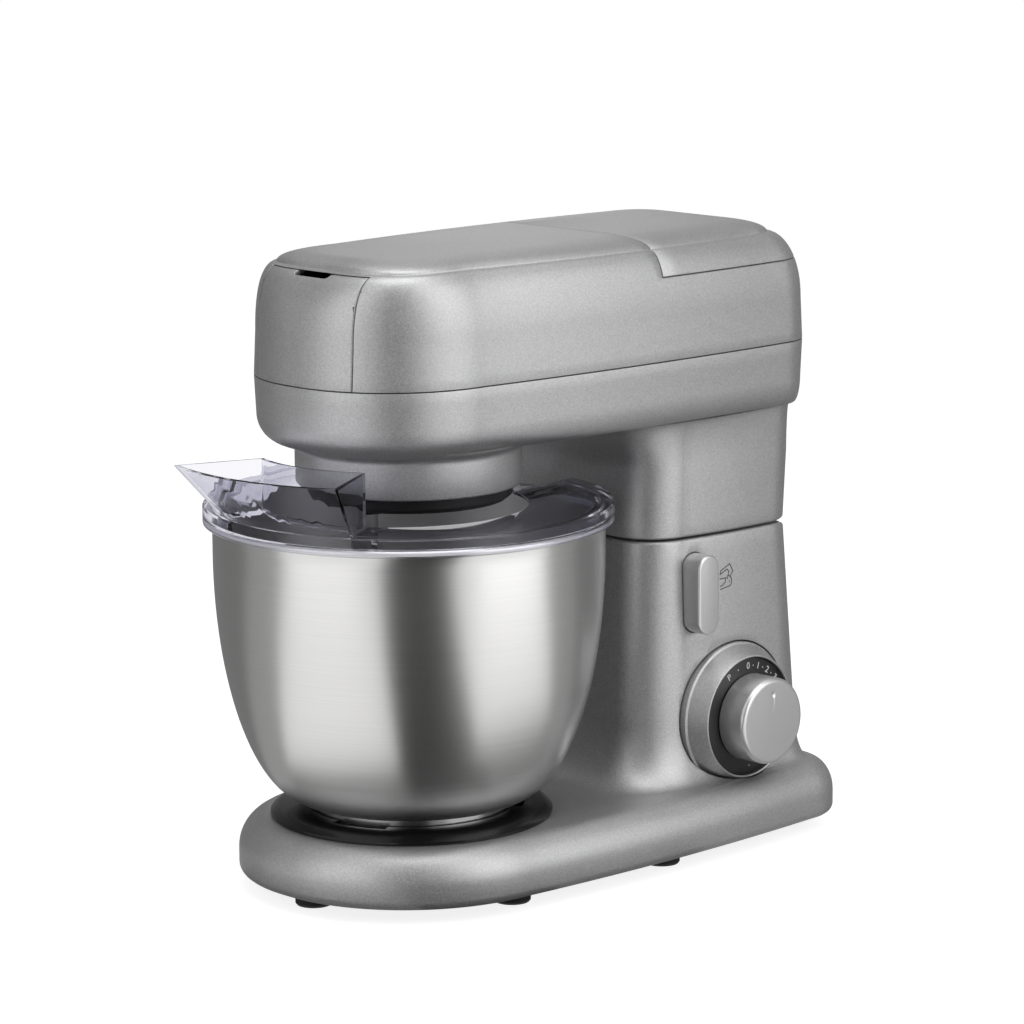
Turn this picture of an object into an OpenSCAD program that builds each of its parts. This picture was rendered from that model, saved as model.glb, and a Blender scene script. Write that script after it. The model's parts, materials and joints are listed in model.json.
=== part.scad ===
/* [Base] */
// Radius of the round front end of the base
base_front_r = 92; // [90:1:98]
// Distance from the bowl axis to the rear end of the base
base_rear_y = 256; // [254:1:264]
// Half width of the base near its rear corners
base_rear_half_w = 91; // [90:1:96]
// How far the long sides of the base bow outwards
base_bow = 4.5; // [2:0.5:7]
// Plan radius of the rear corners of the base
base_corner_r = 35; // [28:1:42]
// Height of the underside of the base above the table
base_bottom_z = 7.5; // [6.5:0.1:8.5]
// Height of the flat top of the base above the table
base_top_z = 38; // [37:0.5:41]
// Wall thickness of every moulded housing
shell_wall = 3.2; // [2.6:0.1:3.6]
// Width of the rounded shoulder round the top of the base
shoulder_w = 15; // [12:0.5:17]

/* [Column] */
// Distance from the bowl axis to the front face of the column at the tilt seam
column_front_y = 121; // [119:0.5:124]
// Distance from the bowl axis to the rear face of the column at the tilt seam
column_rear_y = 237; // [236:0.5:240]
// Half width of the column at its front corners
column_front_half_w = 61; // [60:0.5:63]
// Half width of the column at its rear corners
column_rear_half_w = 64.5; // [63.5:0.5:66]
// Plan radius of the rear corners of the column
column_corner_r = 25; // [20:1:27]
// Height of the seam where the head tilts away from the base
tilt_seam_z = 174; // [172:0.5:176]
// Width of the open seam between the head and the base
tilt_gap = 1.2; // [0.8:0.1:1.6]
// Radius of the sweep between the column and the base plate
column_sweep_r = 30; // [24:1:34]

/* [Head] */
// Distance from the bowl axis to the tip of the nose
nose_y = 80; // [79.5:0.5:84]
// Distance from the bowl axis to the rear face of the head
head_rear_y = 242; // [241:0.5:244]
// Half width of the head where the nose rounding ends
head_front_half_w = 71; // [70:0.5:73]
// Half width of the head near its rear corners
head_rear_half_w = 76.5; // [75:0.5:78]
// How far the long sides of the head bow outwards
head_bow = 3.8; // [2:0.2:5]
// Plan radius of the rear corners of the head
head_corner_r = 30; // [26:1:34]
// Height of the underside of the head
head_under_z = 240; // [239:0.5:242]
// Height of the seam between the lower and the upper head shell
head_seam_z = 276.4; // [274:0.2:280]
// Height of the crease round the raised top of the head
crease_z = 335; // [333:0.5:337]
// Height of the raised top of the head
head_top_z = 341; // [340:0.5:345]
// Outer radius of the round collar under the nose
collar_r = 60; // [59:0.2:61]
// Height of the lower edge of the collar
collar_bottom_z = 217; // [215:0.5:219]
// Half width of the removable cover on the nose
nose_cover_half_w = 37; // [34:0.5:39]
// Distance from the bowl axis to the front seam of the rear cover
rear_cover_y = 116; // [112:1:120]
// Height of the lower seam of the rear cover
rear_cover_z = 321; // [319:0.5:323]

/* [Bowl] */
// Outer radius of the bowl wall just under its rim
bowl_r = 104; // [103:0.2:105]
// Height of the rolled rim of the bowl above the table
bowl_rim_z = 200; // [198:0.5:201]
// Height of the underside of the bowl floor
bowl_floor_z = 47; // [46.5:0.2:48]
// Thickness of the bowl sheet
bowl_sheet = 0.9; // [0.8:0.1:1.2]
// Radius of the flat floor of the bowl
bowl_floor_r = 56; // [54:0.5:58]
// Outer radius of the foot ring under the bowl
foot_ring_r = 54; // [52:0.5:55]
// Outer radius of the bayonet seat on the base
seat_r = 75.5; // [74:0.5:76.5]
// Height of the raised rim of the bayonet seat
seat_rim_z = 43; // [42:0.2:44]
// Number of bayonet lugs on the bowl
lug_count = 3; // [3:1:4]

/* [Splash guard] */
// How far the splash guard reaches past the wall of the bowl
guard_overhang = 5; // [5:0.1:6.5]
// Width of the flat rim left round the opening in the splash guard
guard_rim_w = 39; // [37:0.5:41]
// Height of the top face of the splash guard
guard_top_z = 207; // [206:0.2:208]
// Wall thickness of the clear guard
guard_wall = 2.2; // [1.8:0.1:2.4]
// Half width of the slot at the back of the guard
guard_slot_half_w = 25; // [22:1:28]
// Height of the rim of the feeding chute
chute_top_z = 235.5; // [230:0.5:236]
// How far the rim of the feeding chute reaches past the splash guard
chute_reach = 22; // [18:0.5:24]
// Width of the feeding chute at its rim, from its inner to its outer wall
chute_w = 50; // [47:0.5:51]
// Half of the angle that the feeding chute spans
chute_half_angle = 26; // [24:1:30]
// Angle that the guard is turned to at rest
guard_angle = 6; // [0:1:10]

/* [Controls] */
// Distance from the bowl axis to the dial axis
dial_y = 181; // [179:0.5:183]
// Height of the dial axis
dial_z = 72; // [71:0.5:74]
// Outer radius of the knob
knob_r = 24; // [22:0.5:25]
// Distance from the middle plane to the face of the knob
knob_face_x = 96; // [93:0.5:98]
// Outer radius of the black scale ring
scale_r = 32.6; // [31.5:0.1:33]
// Radius of the wide end of the dial bezel
bezel_r = 40; // [38:0.5:41]
// Width of the release button
button_w = 16; // [14:0.5:18]
// Height of the release button
button_h = 44; // [40:0.5:46]
// Distance from the bowl axis to the middle of the release button
button_y = 153; // [151:0.5:155]
// Height of the middle of the release button
button_z = 143.5; // [141:0.5:145]
// Distance from the middle plane to the face of the release button
button_face_x = 76; // [74:0.5:78]
// Travel of the release button
button_travel = 5; // [4:0.5:6]

/* [Drive] */
// Pitch module of the planetary gears
planet_module = 1.875; // [1.75:0.025:1.9]
// Pitch module of the main gear and its pinion
main_module = 1.25; // [1.2:0.01:1.27]
// Radius of the planetary head under the collar
planet_head_r = 55; // [53:0.5:56]
// Radius of the tool spindle
spindle_r = 5.5; // [5:0.1:6]
// Height of the free end of the tool spindle
spindle_tip_z = 172; // [168:1:178]
// Radius of the motor shaft
motor_shaft_r = 4; // [3.5:0.1:4.5]
// Distance from the bowl axis to the motor axis
motor_y = 172; // [170:0.5:174]
// Outer radius of the large belt pulley
large_pulley_r = 36; // [34:0.5:36.5]
// Outer radius of the motor pulley
small_pulley_r = 9; // [8.5:0.1:10]
// Height of the axis of the front outlet
outlet_z = 306; // [305:0.5:307]

/* [Hinge] */
// Distance from the bowl axis to the hinge axis
hinge_y = 227; // [226.5:0.25:227.5]
// Height of the hinge axis
hinge_z = 179; // [178.5:0.25:179.5]
// Radius of the hinge pin
hinge_pin_r = 3; // [2.5:0.1:3.2]
// Angle that the head tilts up
tilt_angle = 30; // [26:1:32]

/* [Clearances] */
// Clearance between parts that only lie next to each other
gap = 0.3; // [0.25:0.05:0.4]
// Radial clearance of a shaft in its bearing
run_gap = 0.05; // [0.03:0.01:0.08]

/* [Hidden] */

$fn = 96;

// Splash guard: it follows the bowl
guard_r = bowl_r + guard_overhang;
guard_hole_r = guard_r - guard_rim_w;
chute_outer_r = guard_r + chute_reach;
chute_inner_r = chute_outer_r - chute_w;

// Part frame: middle of the footprint, on the table
frame_y = (base_rear_y - chute_outer_r) / 2;

// Outlines: half outlines from the front tip to the rear middle, mirrored into full rings
front_steps = 12;
side_steps = 3;
rear_steps = 6;
arc_step = 18;
inner_arc_step = 30;

function power(v, e) = v <= 0 ? 0 : pow(v, e);
function blend(a, b, t) = a * (1 - t) + b * t;
function inset(o, front, front_side, rear_side, rear) =
    o + [front, 0, -front_side, 0, -rear_side, 0, -rear, -rear_side, 0, 0];
function inset_all(o, d) = inset(o, d, d, d, d);

// An outline is [front, flat, front half width, front corner end, rear half width, bow, rear,
// rear corner radius, front corner power, rear corner power]
function front_arc(o) = [for (i = [0:front_steps]) let (t = 90 * i / front_steps)
    [o[1] + (o[2] - o[1]) * power(sin(t), 2 / o[8]), o[3] - (o[3] - o[0]) * power(cos(t), 2 / o[8])]];
function side_run(o) = [for (i = [1:side_steps]) let (s = i / (side_steps + 1))
    [o[2] + (o[4] - o[2]) * s + 4 * o[5] * s * (1 - s), o[3] + (o[6] - o[7] - o[3]) * s]];
function rear_arc(o) = [for (i = [0:rear_steps]) let (t = 90 * i / rear_steps)
    [o[4] - o[7] + o[7] * power(cos(t), 2 / o[9]), o[6] - o[7] + o[7] * power(sin(t), 2 / o[9])]];
function half_outline(o) = concat(front_arc(o), side_run(o), rear_arc(o));
function full_outline(o) = let (h = half_outline(o), n = len(h))
    concat(h, [for (i = [n - 1:-1:0]) [-h[i][0], h[i][1]]]);
function ring(o, z) = [for (p = full_outline(o)) [p[0], p[1], z]];

// Skin over a stack of rings, with a flat cap at each end
module loft(rings) {
    n = len(rings[0]);
    m = len(rings);
    points = [for (r = rings) for (p = r) p];
    walls = [for (i = [0:m - 2]) for (j = [0:n - 1]) let (k = (j + 1) % n)
        each [[i * n + j, (i + 1) * n + j, (i + 1) * n + k], [i * n + j, (i + 1) * n + k, i * n + k]]];
    caps = [[for (j = [0:n - 1]) j], [for (j = [n - 1:-1:0]) (m - 1) * n + j]];
    polyhedron(points = points, faces = concat(walls, caps));
}

function reversed(list) = [for (i = [len(list) - 1:-1:0]) list[i]];

// Column outlines below and above the tilt seam
column_flat = 37;
column_nose = 25;
column_bow = 1.5;
column_seam = [column_front_y, column_flat, column_front_half_w, column_front_y + column_nose,
    column_rear_half_w, column_bow, column_rear_y, column_corner_r, 2, 2];
lower_draft = [-0.04, 0, 0.035, 0, 0.035, 0, 0.07, 0.02, 0, 0];
upper_draft = [0, 0, 0.02, 0, 0.02, 0, 0.045, 0, 0, 0];
function lower_column(z) = column_seam + lower_draft * (tilt_seam_z - z);
function upper_column(z) = column_seam + upper_draft * (z - tilt_seam_z);

// Base outline and the profile of its edge
base_outline = [-base_front_r, 3, base_front_r, 0, base_rear_half_w, base_bow, base_rear_y,
    base_corner_r, 2, 2.2];
edge_r = 5;
shoulder_z = 20;
rear_shoulder = shoulder_w - 3;
lift = 0.3;
sweep_h = column_sweep_r + 4;
plate_outline = inset(base_outline, shoulder_w, shoulder_w, shoulder_w, rear_shoulder);
column_foot = lower_column(base_top_z + sweep_h);
sweep_foot = [column_foot[0] - column_sweep_r, column_flat, plate_outline[2] - 0.5, column_foot[3],
    plate_outline[4] - 1, 2.5, plate_outline[6] - 0.5, plate_outline[7], 2, 2.2];
deck_top = tilt_seam_z - tilt_gap / 2;
deck_bottom = deck_top - shell_wall;

// Rings of the base from the shoulder up to the column, moved inwards by w
function base_rings(w, step = arc_step) = concat(
    [for (t = [0:step:90]) ring(inset_all(blend(base_outline, plate_outline, 1 - cos(t)),
        w * cos(t)), shoulder_z + (base_top_z - shoulder_z - w) * sin(t))],
    [for (t = [0:step:90]) ring(inset_all(blend(column_foot, sweep_foot, 1 - sin(t)),
        w * sin(t)), base_top_z + lift + sweep_h * (1 - cos(t)) - w * cos(t))]);
base_edge = [for (t = [0:30:60]) ring(inset_all(base_outline, edge_r * (1 - sin(t))),
    base_bottom_z + edge_r * (1 - cos(t)))];
base_mouth = [ring(inset_all(base_outline, edge_r + shell_wall), base_bottom_z),
    ring(inset_all(base_outline, shell_wall), base_bottom_z + edge_r)];

// Head outlines
head_outline = [-nose_y, 2, head_front_half_w, -10, head_rear_half_w, head_bow, head_rear_y,
    head_corner_r, 2.2, 2];
head_draft = 0.045;
function head_at(z) = inset_all(head_outline, head_draft * abs(z - head_seam_z));
under_round_h = 16;
under_inset = 15;
under_side_inset = 9.2;
under_rear_inset = 1.5;
under_outline = inset(head_at(head_under_z + under_round_h), under_inset, under_inset,
    under_side_inset, under_rear_inset);
head_sweep_r = 26;
column_head = upper_column(head_under_z - head_sweep_r);
head_sweep = [column_front_y - head_sweep_r, column_flat, under_outline[4] + 1.2, column_head[3],
    under_outline[4] + 0.1, 1.2, under_outline[6] - 0.1, column_corner_r, 2, 2];
floor_bottom = tilt_seam_z + tilt_gap / 2;
floor_top = floor_bottom + shell_wall;
seam_gap = 0.3;
lip = 1;

function lower_head_rings(w, step = arc_step) = concat(
    [for (t = [90:-step:0]) ring(inset_all(blend(column_head, head_sweep, 1 - sin(t)),
        w * sin(t)), head_under_z - lift - head_sweep_r * (1 - cos(t)) + w * cos(t))],
    [for (t = [0:step:90]) ring(inset_all(
        blend(under_outline, head_at(head_under_z + under_round_h), sin(t)), w * sin(t)),
        head_under_z + under_round_h * (1 - cos(t)) + w * cos(t))],
    [ring(inset_all(head_outline, w), head_seam_z - seam_gap / 2)]);

// Crown outlines on top of the head
wall_top_z = 300;
crease_outline = [-59, 12, 56, -10, 58, 8, 228, 24, 3, 2.2];
crown_outline = [-45, 8, 34, -8, 35, 2, 212, 16, 2.4, 2.2];
crown_h = head_top_z - crease_z;
function upper_head_rings(w, step = arc_step) = concat(
    [ring(inset_all(head_outline, w), head_seam_z + seam_gap / 2)],
    [for (t = [0:step:90]) ring(inset_all(blend(head_at(wall_top_z), crease_outline, 1 - cos(t)),
        w * cos(t)), wall_top_z + (crease_z - wall_top_z - w) * sin(t))],
    [for (t = [22.5:22.5:90]) ring(blend(crease_outline, crown_outline, 1 - cos(t)),
        crease_z + crown_h * sin(t) - w)]);

module place() {
    translate([0, -frame_y, 0]) children();
}

module tube(r_out, r_in, h) {
    difference() {
        cylinder(r = r_out, h = h);
        translate([0, 0, -1]) cylinder(r = r_in, h = h + 2);
    }
}

module ring_of(count, start = 0) {
    for (i = [0:count - 1]) rotate(start + 360 * i / count) children();
}

// ---------------------------------------------------------------- base

seat_well_r = seat_r - 12;
boss_r = 4.5;
screw_r = 1.5;
pilot_r = screw_r + 0.1;
cover_t = 2.5;
cover_z = base_bottom_z + 0.5;
boss_bottom = cover_z + cover_t + gap;
cover_bosses = [[58, -42], [-58, -42], [76, 70], [-76, 70], [72, 216], [-72, 216]];
foot_places = [[0, -70], [69, 8], [-69, 8], [72, 118], [-72, 118], [60, 226], [-60, 226]];

// Windows in the deck of the column for the hinge and the latch
window_half_w = 50;
hinge_window = [hinge_y - 12, column_rear_y - shell_wall - 0.4];
catch_x = 30;
catch_t = 3;
catch_w = 16;
latch_window = [button_y - 15, button_y + 12];

// Heel of the head column when it is tilted, and the notch that it needs
heel_y = column_rear_y - hinge_y;
heel_drop = hinge_z - floor_bottom;
heel_tilted = [hinge_y + heel_y * cos(tilt_angle) - heel_drop * sin(tilt_angle),
    hinge_z - heel_y * sin(tilt_angle) - heel_drop * cos(tilt_angle)];
heel_clear = 1;

module heel_notch() {
    reach = base_rear_y;
    translate([-reach / 2, 0, 0]) rotate([90, 0, 90]) linear_extrude(reach)
        polygon([[hinge_y - 4, tilt_seam_z + 1], [hinge_y - 4, deck_top - 0.3],
            [heel_tilted[0] - heel_clear, heel_tilted[1] - heel_clear],
            [reach, heel_tilted[1] - heel_clear], [reach, tilt_seam_z + 1]]);
}

// Dial bezel: a cone that lies on the flared wall of the column
bezel_back_x = 58;
bezel_cone_x = 67;
bezel_front_x = 79;
bezel_front_r = scale_r + 1.4;
scale_t = 2;
scale_face_x = bezel_front_x - 2;
scale_hub_r = 9;
module on_dial_axis() {
    translate([0, dial_y, dial_z]) rotate([90, 0, 90]) children();
}
module on_button_axis() {
    translate([0, button_y, button_z]) rotate([90, 0, 90]) children();
}
module pill(w, h) {
    for (side = [-1, 1]) translate([0, side * (h - w) / 2]) circle(d = w);
    square([w, h - w], center = true);
}

shaft_hole_r = 5;
frame_t = 3;
frame_x = column_front_half_w - 17;
frame_front_y = column_front_y + 15;
frame_rear_y = column_rear_y - 16;
frame_bottom_z = base_top_z + 16;
lug_size = 10;
lug_places = [[frame_front_y + 5, 92], [frame_front_y + 5, 158], [frame_rear_y - 8, 112],
    [frame_rear_y - 8, 158]];
lug_start_x = frame_x + frame_t + gap;
// The lugs end inside the column wall, deeper in at the round front corners
function lug_end(p) = lower_draft[2] * (tilt_seam_z - p[1])
    + (p[0] < dial_y ? column_front_half_w - 3.5 : column_rear_half_w - 1.5);

gland_z = 24;
gland_x = -40;
gland_r = 6.5;
gland_flange_r = gland_r + 2.5;
gland_depth = 2.4;

module base_housing() place() color("silver") difference() {
    union() {
        loft(concat(
            [ring(inset_all(lower_column(deck_bottom), shell_wall), deck_bottom)],
            reversed(base_rings(shell_wall, inner_arc_step)), reversed(base_mouth),
            base_edge, base_rings(0),
            [ring(lower_column(deck_top - lip), deck_top - lip),
                ring(inset_all(lower_column(deck_top), lip), deck_top)]));
        // Bosses for the bottom cover
        for (p = cover_bosses) translate([p[0], p[1], boss_bottom])
            cylinder(r = boss_r, h = base_top_z - 1 - boss_bottom);
        // Lugs that carry the hinge frame
        for (side = [-1, 1]) for (p = lug_places)
            translate([side * (lug_start_x + lug_end(p)) / 2, p[0], p[1]])
                cube([lug_end(p) - lug_start_x, lug_size, lug_size], center = true);
    }
    // Well of the bayonet seat
    translate([0, 0, base_top_z - shell_wall - 2]) cylinder(r = seat_well_r, h = shell_wall + 4);
    for (p = cover_bosses) translate([p[0], p[1], boss_bottom - 1]) cylinder(r = pilot_r, h = 20);
    for (side = [0, 1]) mirror([side, 0, 0]) for (p = lug_places)
        translate([frame_x, p[0], p[1]]) rotate([0, 90, 0]) cylinder(r = pilot_r, h = lug_size);
    // Room for the dial scale and its hub, and the button opening
    on_dial_axis() translate([0, 0, scale_face_x - scale_t - gap]) cylinder(r = scale_r + gap, h = 30);
    on_dial_axis() translate([0, 0, lug_start_x]) cylinder(r = scale_hub_r + gap, h = 40);
    on_button_axis() translate([0, 0, frame_x + frame_t + 1]) linear_extrude(40)
        pill(button_w + 2 * gap, button_h + 2 * gap);
    // Windows in the deck
    translate([-window_half_w, hinge_window[0], deck_bottom - 2])
        cube([2 * window_half_w, hinge_window[1] - hinge_window[0], 2 * shell_wall + 2]);
    translate([catch_x - 10, latch_window[0], deck_bottom - 2])
        cube([24, latch_window[1] - latch_window[0], 2 * shell_wall + 2]);
    heel_notch();
    // Cord inlet
    translate([gland_x, base_rear_y, gland_z]) rotate([90, 0, 0]) {
        translate([0, 0, -20]) cylinder(r = gland_r + 0.1, h = 40);
        translate([0, 0, -20]) cylinder(r = gland_flange_r + gap, h = 20 + gland_depth);
    }
}

seat_screw_r = 30;
seat_post_r = 5;
seat_floor_z = 30;
seat_floor_t = 2.5;
module bottom_cover() place() color("dimgray") difference() {
    cover_outline = inset_all(base_outline, edge_r + shell_wall + gap);
    union() {
        translate([0, 0, cover_z]) linear_extrude(cover_t) polygon(full_outline(cover_outline));
        ring_of(4, 45) translate([seat_screw_r, 0, cover_z + 1])
            cylinder(r = seat_post_r, h = seat_floor_z - gap - cover_z - 1);
    }
    ring_of(4, 45) translate([seat_screw_r, 0, seat_floor_z - 14]) cylinder(r = pilot_r, h = 20);
    for (p = foot_places) translate([p[0], p[1], cover_z - 1]) cylinder(r = foot_stem_r + gap, h = 5);
    for (p = cover_bosses) translate([p[0], p[1], cover_z - 1]) cylinder(r = screw_r + gap, h = 5);
    // Cooling slots
    for (i = [-2:2]) translate([i * 9, motor_y, cover_z + 1]) cube([4, 46, 6], center = true);
}

foot_r = 10;
foot_stem_r = 4;
foot_flange_r = 5.5;
module feet() place() color("black") for (p = foot_places) translate([p[0], p[1], 0]) {
    cylinder(r1 = foot_r - 0.8, r2 = foot_r, h = 1);
    translate([0, 0, 1]) cylinder(r = foot_r, h = cover_z - 1);
    cylinder(r = foot_stem_r, h = cover_z + cover_t + 1);
    translate([0, 0, cover_z + cover_t]) cylinder(r1 = foot_flange_r, r2 = foot_stem_r, h = 2);
}

screw_head_r = 2 * screw_r;
screw_head_h = 2;
screw_length = 10;
module screw() {
    difference() {
        cylinder(r = screw_head_r, h = screw_head_h);
        translate([0, 0, -1]) cylinder(r = screw_head_r / 2, h = 1 + screw_head_h / 2, $fn = 6);
    }
    cylinder(r = screw_r, h = screw_head_h + screw_length);
}

module cover_screws() place() color("gray") for (p = cover_bosses)
    translate([p[0], p[1], cover_z - screw_head_h]) screw();

// ---------------------------------------------------------------- bayonet seat

seat_lip_r = foot_ring_r + 1.5;
seat_wall_r = seat_well_r - gap;
lug_r = foot_ring_r + 5;
seat_cup_r = lug_r + 1;
lip_bottom_z = seat_rim_z - 3;
lug_t = 3;
lug_z = lip_bottom_z - gap - lug_t;
lug_angle = 26;
lug_start = 17;
bowl_twist = 32;

// Piece of a ring, centred on the +X direction
module sector(r_in, r_out, angle, h) {
    rotate(-angle / 2) rotate_extrude(angle = angle) translate([r_in, 0]) square([r_out - r_in, h]);
}

module bowl_seat() place() color([0.08, 0.08, 0.09]) difference() {
    flange_z = base_top_z + gap;
    rotate_extrude() polygon([[0, seat_floor_z], [seat_wall_r, seat_floor_z], [seat_wall_r, flange_z],
        [seat_r, flange_z], [seat_r, flange_z + 1.5], [seat_r - 2.2, flange_z + 3.6],
        [seat_r - 5, seat_rim_z], [seat_lip_r, seat_rim_z], [seat_lip_r, lip_bottom_z],
        [seat_cup_r, lip_bottom_z], [seat_cup_r, seat_floor_z + seat_floor_t],
        [0, seat_floor_z + seat_floor_t]]);
    // Gaps in the lip that let the lugs through
    ring_of(lug_count, lug_start + bowl_twist) translate([0, 0, lip_bottom_z - 0.5])
        sector(foot_ring_r, seat_cup_r + 0.5, lug_angle + 5, seat_rim_z - lip_bottom_z + 1);
    ring_of(4, 45) translate([seat_screw_r, 0, seat_floor_z - 1]) cylinder(r = screw_r + gap, h = 5);
}

module seat_screws() place() color("gray") ring_of(4, 45)
    translate([seat_screw_r, 0, seat_floor_z + seat_floor_t + screw_head_h]) mirror([0, 0, 1]) screw();

// ---------------------------------------------------------------- hinge and latch

ear_wall = 2.1;
ear_r = hinge_pin_r + ear_wall;
module hinge_frame() place() color("lightsteelblue") difference() {
    union() {
        for (side = [0, 1]) mirror([side, 0, 0]) translate([frame_x, 0, 0]) rotate([90, 0, 90]) {
            linear_extrude(frame_t) polygon([[frame_front_y, frame_bottom_z],
                [frame_rear_y - 26, frame_bottom_z], [frame_rear_y, frame_bottom_z + 20],
                [frame_rear_y, 158], [hinge_y + 2.4, frame_top_z], [hinge_y + 2.4, hinge_z],
                [hinge_y - ear_r, hinge_z], [hinge_y - ear_r - 4, frame_top_z],
                [frame_front_y, frame_top_z]]);
            translate([hinge_y, hinge_z, 0]) cylinder(r = ear_r, h = frame_t);
        }
        // Cross plates between the two sides
        translate([-frame_x, frame_front_y, frame_bottom_z]) cube([2 * frame_x, frame_t, 30]);
        translate([-frame_x, frame_rear_y - frame_t - 6, frame_bottom_z + 24])
            cube([2 * frame_x, frame_t, 26]);
    }
    on_hinge() translate([0, 0, -frame_x - 10]) cylinder(r = hinge_pin_r, h = 2 * frame_x + 20);
    for (side = [0, 1]) mirror([side, 0, 0]) for (p = lug_places)
        translate([frame_x - 1, p[0], p[1]]) rotate([0, 90, 0]) cylinder(r = screw_r + gap, h = frame_t + 2);
    on_dial_axis() translate([0, 0, frame_x + frame_t / 2])
        cube([switch_w + 2 * gap, switch_w + 2 * gap, frame_t + 2], center = true);
    on_button_axis() translate([0, 0, frame_x - 1]) cylinder(r = stem_r + gap, h = frame_t + 2);
}
frame_top_z = tilt_seam_z - 8;
module on_hinge() {
    translate([0, hinge_y, hinge_z]) rotate([0, 90, 0]) children();
}

module frame_screws() place() color("gray") for (side = [0, 1]) mirror([side, 0, 0])
    for (p = lug_places) translate([frame_x - screw_head_h, p[0], p[1]]) rotate([0, 90, 0]) screw();

module hinge_pin() place() color("gray") on_hinge() {
    translate([0, 0, -frame_x - frame_t - 1]) cylinder(r = hinge_pin_r, h = 2 * (frame_x + frame_t + 1));
    for (side = [0, 1]) mirror([0, 0, side]) translate([0, 0, frame_x + frame_t + gap])
        cylinder(r = hinge_pin_r + 1.2, h = 1.2);
}

stem_r = 4;
button_back_x = 60;
module release_button() place() color("silver") on_button_axis() {
    edge = 1.2;
    translate([0, 0, button_back_x]) linear_extrude(button_face_x - button_back_x - edge)
        pill(button_w, button_h);
    translate([0, 0, button_face_x - edge]) linear_extrude(edge)
        pill(button_w - 2 * edge, button_h - 2 * edge);
}

// The slide runs under the catch and its finger points back at the catch window
bar_t = 5;
bar_w = 2 * stem_r;
finger_z = button_z + 13;
slide_x = catch_x - 12;
module latch_slide() place() color("gray") {
    on_button_axis() translate([0, 0, frame_x - 4]) cylinder(r = stem_r, h = button_back_x - frame_x + 4);
    translate([slide_x, button_y - bar_w / 2, button_z - stem_r])
        cube([frame_x - 3 - slide_x, bar_w, bar_t]);
    translate([slide_x, button_y - bar_w / 2, button_z - stem_r])
        cube([bar_t, bar_w, finger_z + bar_t / 2 - button_z + stem_r]);
    translate([slide_x, button_y - bar_w / 2, finger_z - bar_t / 2])
        cube([catch_x - gap - slide_x, bar_w, bar_t]);
}

// Return spring of the button: a coil round the stem, between the frame and the button
spring_turns = 4;
spring_r = 6;
spring_wire_r = 0.5;
spring_steps = 16;
spring_sides = 6;
module button_spring() place() color("silver") on_button_axis() {
    start = frame_x + frame_t + spring_wire_r + 0.05;
    rise = button_back_x - spring_wire_r - 0.05 - start;
    count = spring_turns * spring_steps;
    points = [for (i = [0:count]) for (j = [0:spring_sides - 1])
        let (a = 360 * i / spring_steps, b = 360 * j / spring_sides, r = spring_r + spring_wire_r * cos(b))
        [r * cos(a), r * sin(a), start + rise * i / count + spring_wire_r * sin(b)]];
    walls = [for (i = [0:count - 1]) for (j = [0:spring_sides - 1])
        let (k = (j + 1) % spring_sides, p = i * spring_sides, q = p + spring_sides)
        each [[p + j, p + k, q + k], [p + j, q + k, q + j]]];
    caps = [[for (j = [spring_sides - 1:-1:0]) j], [for (j = [0:spring_sides - 1]) count * spring_sides + j]];
    polyhedron(points = points, faces = concat(walls, caps));
}

// ---------------------------------------------------------------- dial, switch and board

bezel_skin_top = 150;
module dial_bezel() place() color("silver") difference() {
    on_dial_axis() rotate_extrude() polygon([
        [scale_r + gap, bezel_back_x], [bezel_r, bezel_back_x], [bezel_r, bezel_cone_x],
        [bezel_front_r, bezel_front_x - 0.5], [bezel_front_r - 0.5, bezel_front_x],
        [scale_r + gap, bezel_front_x - 0.4]]);
    loft(concat(base_rings(-gap), [ring(inset_all(lower_column(bezel_skin_top), -gap), bezel_skin_top)]));
}

knob_gap = 0.5;
module dial_scale() place() color([0.06, 0.06, 0.07]) on_dial_axis() {
    translate([0, 0, scale_face_x - scale_t]) tube(scale_r, shaft_hole_r, scale_t);
    // Hub that carries the ring on the switch
    translate([0, 0, switch_face_x]) tube(scale_hub_r, shaft_hole_r, scale_face_x - switch_face_x);
}

switch_face_x = frame_x + frame_t + 8;
switch_w = 26;
knob_shaft_r = 3;
module speed_switch() place() color([0.2, 0.2, 0.22]) on_dial_axis() difference() {
    union() {
        translate([-switch_w / 2, -switch_w / 2, frame_x - 12])
            cube([switch_w, switch_w, switch_face_x - frame_x + 12 - gap]);
        translate([0, 0, frame_x - 18]) cylinder(r = 8, h = 8);
    }
    translate([0, 0, frame_x - 6]) cylinder(r = knob_shaft_r + run_gap, h = 30);
}

module speed_knob() place() color("silver") on_dial_axis() {
    round_r = 2.5;
    rotate_extrude() polygon(concat([[0, scale_face_x + knob_gap], [knob_r - 1, scale_face_x + knob_gap],
        [knob_r, scale_face_x + knob_gap + 1]],
        [for (t = [0:22.5:90]) [knob_r - 1 - round_r + round_r * cos(t),
            knob_face_x - round_r + round_r * sin(t)]],
        [[0, knob_face_x]]));
    translate([0, 0, frame_x - 5]) cylinder(r = knob_shaft_r, h = scale_face_x - frame_x + 8);
}

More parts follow.
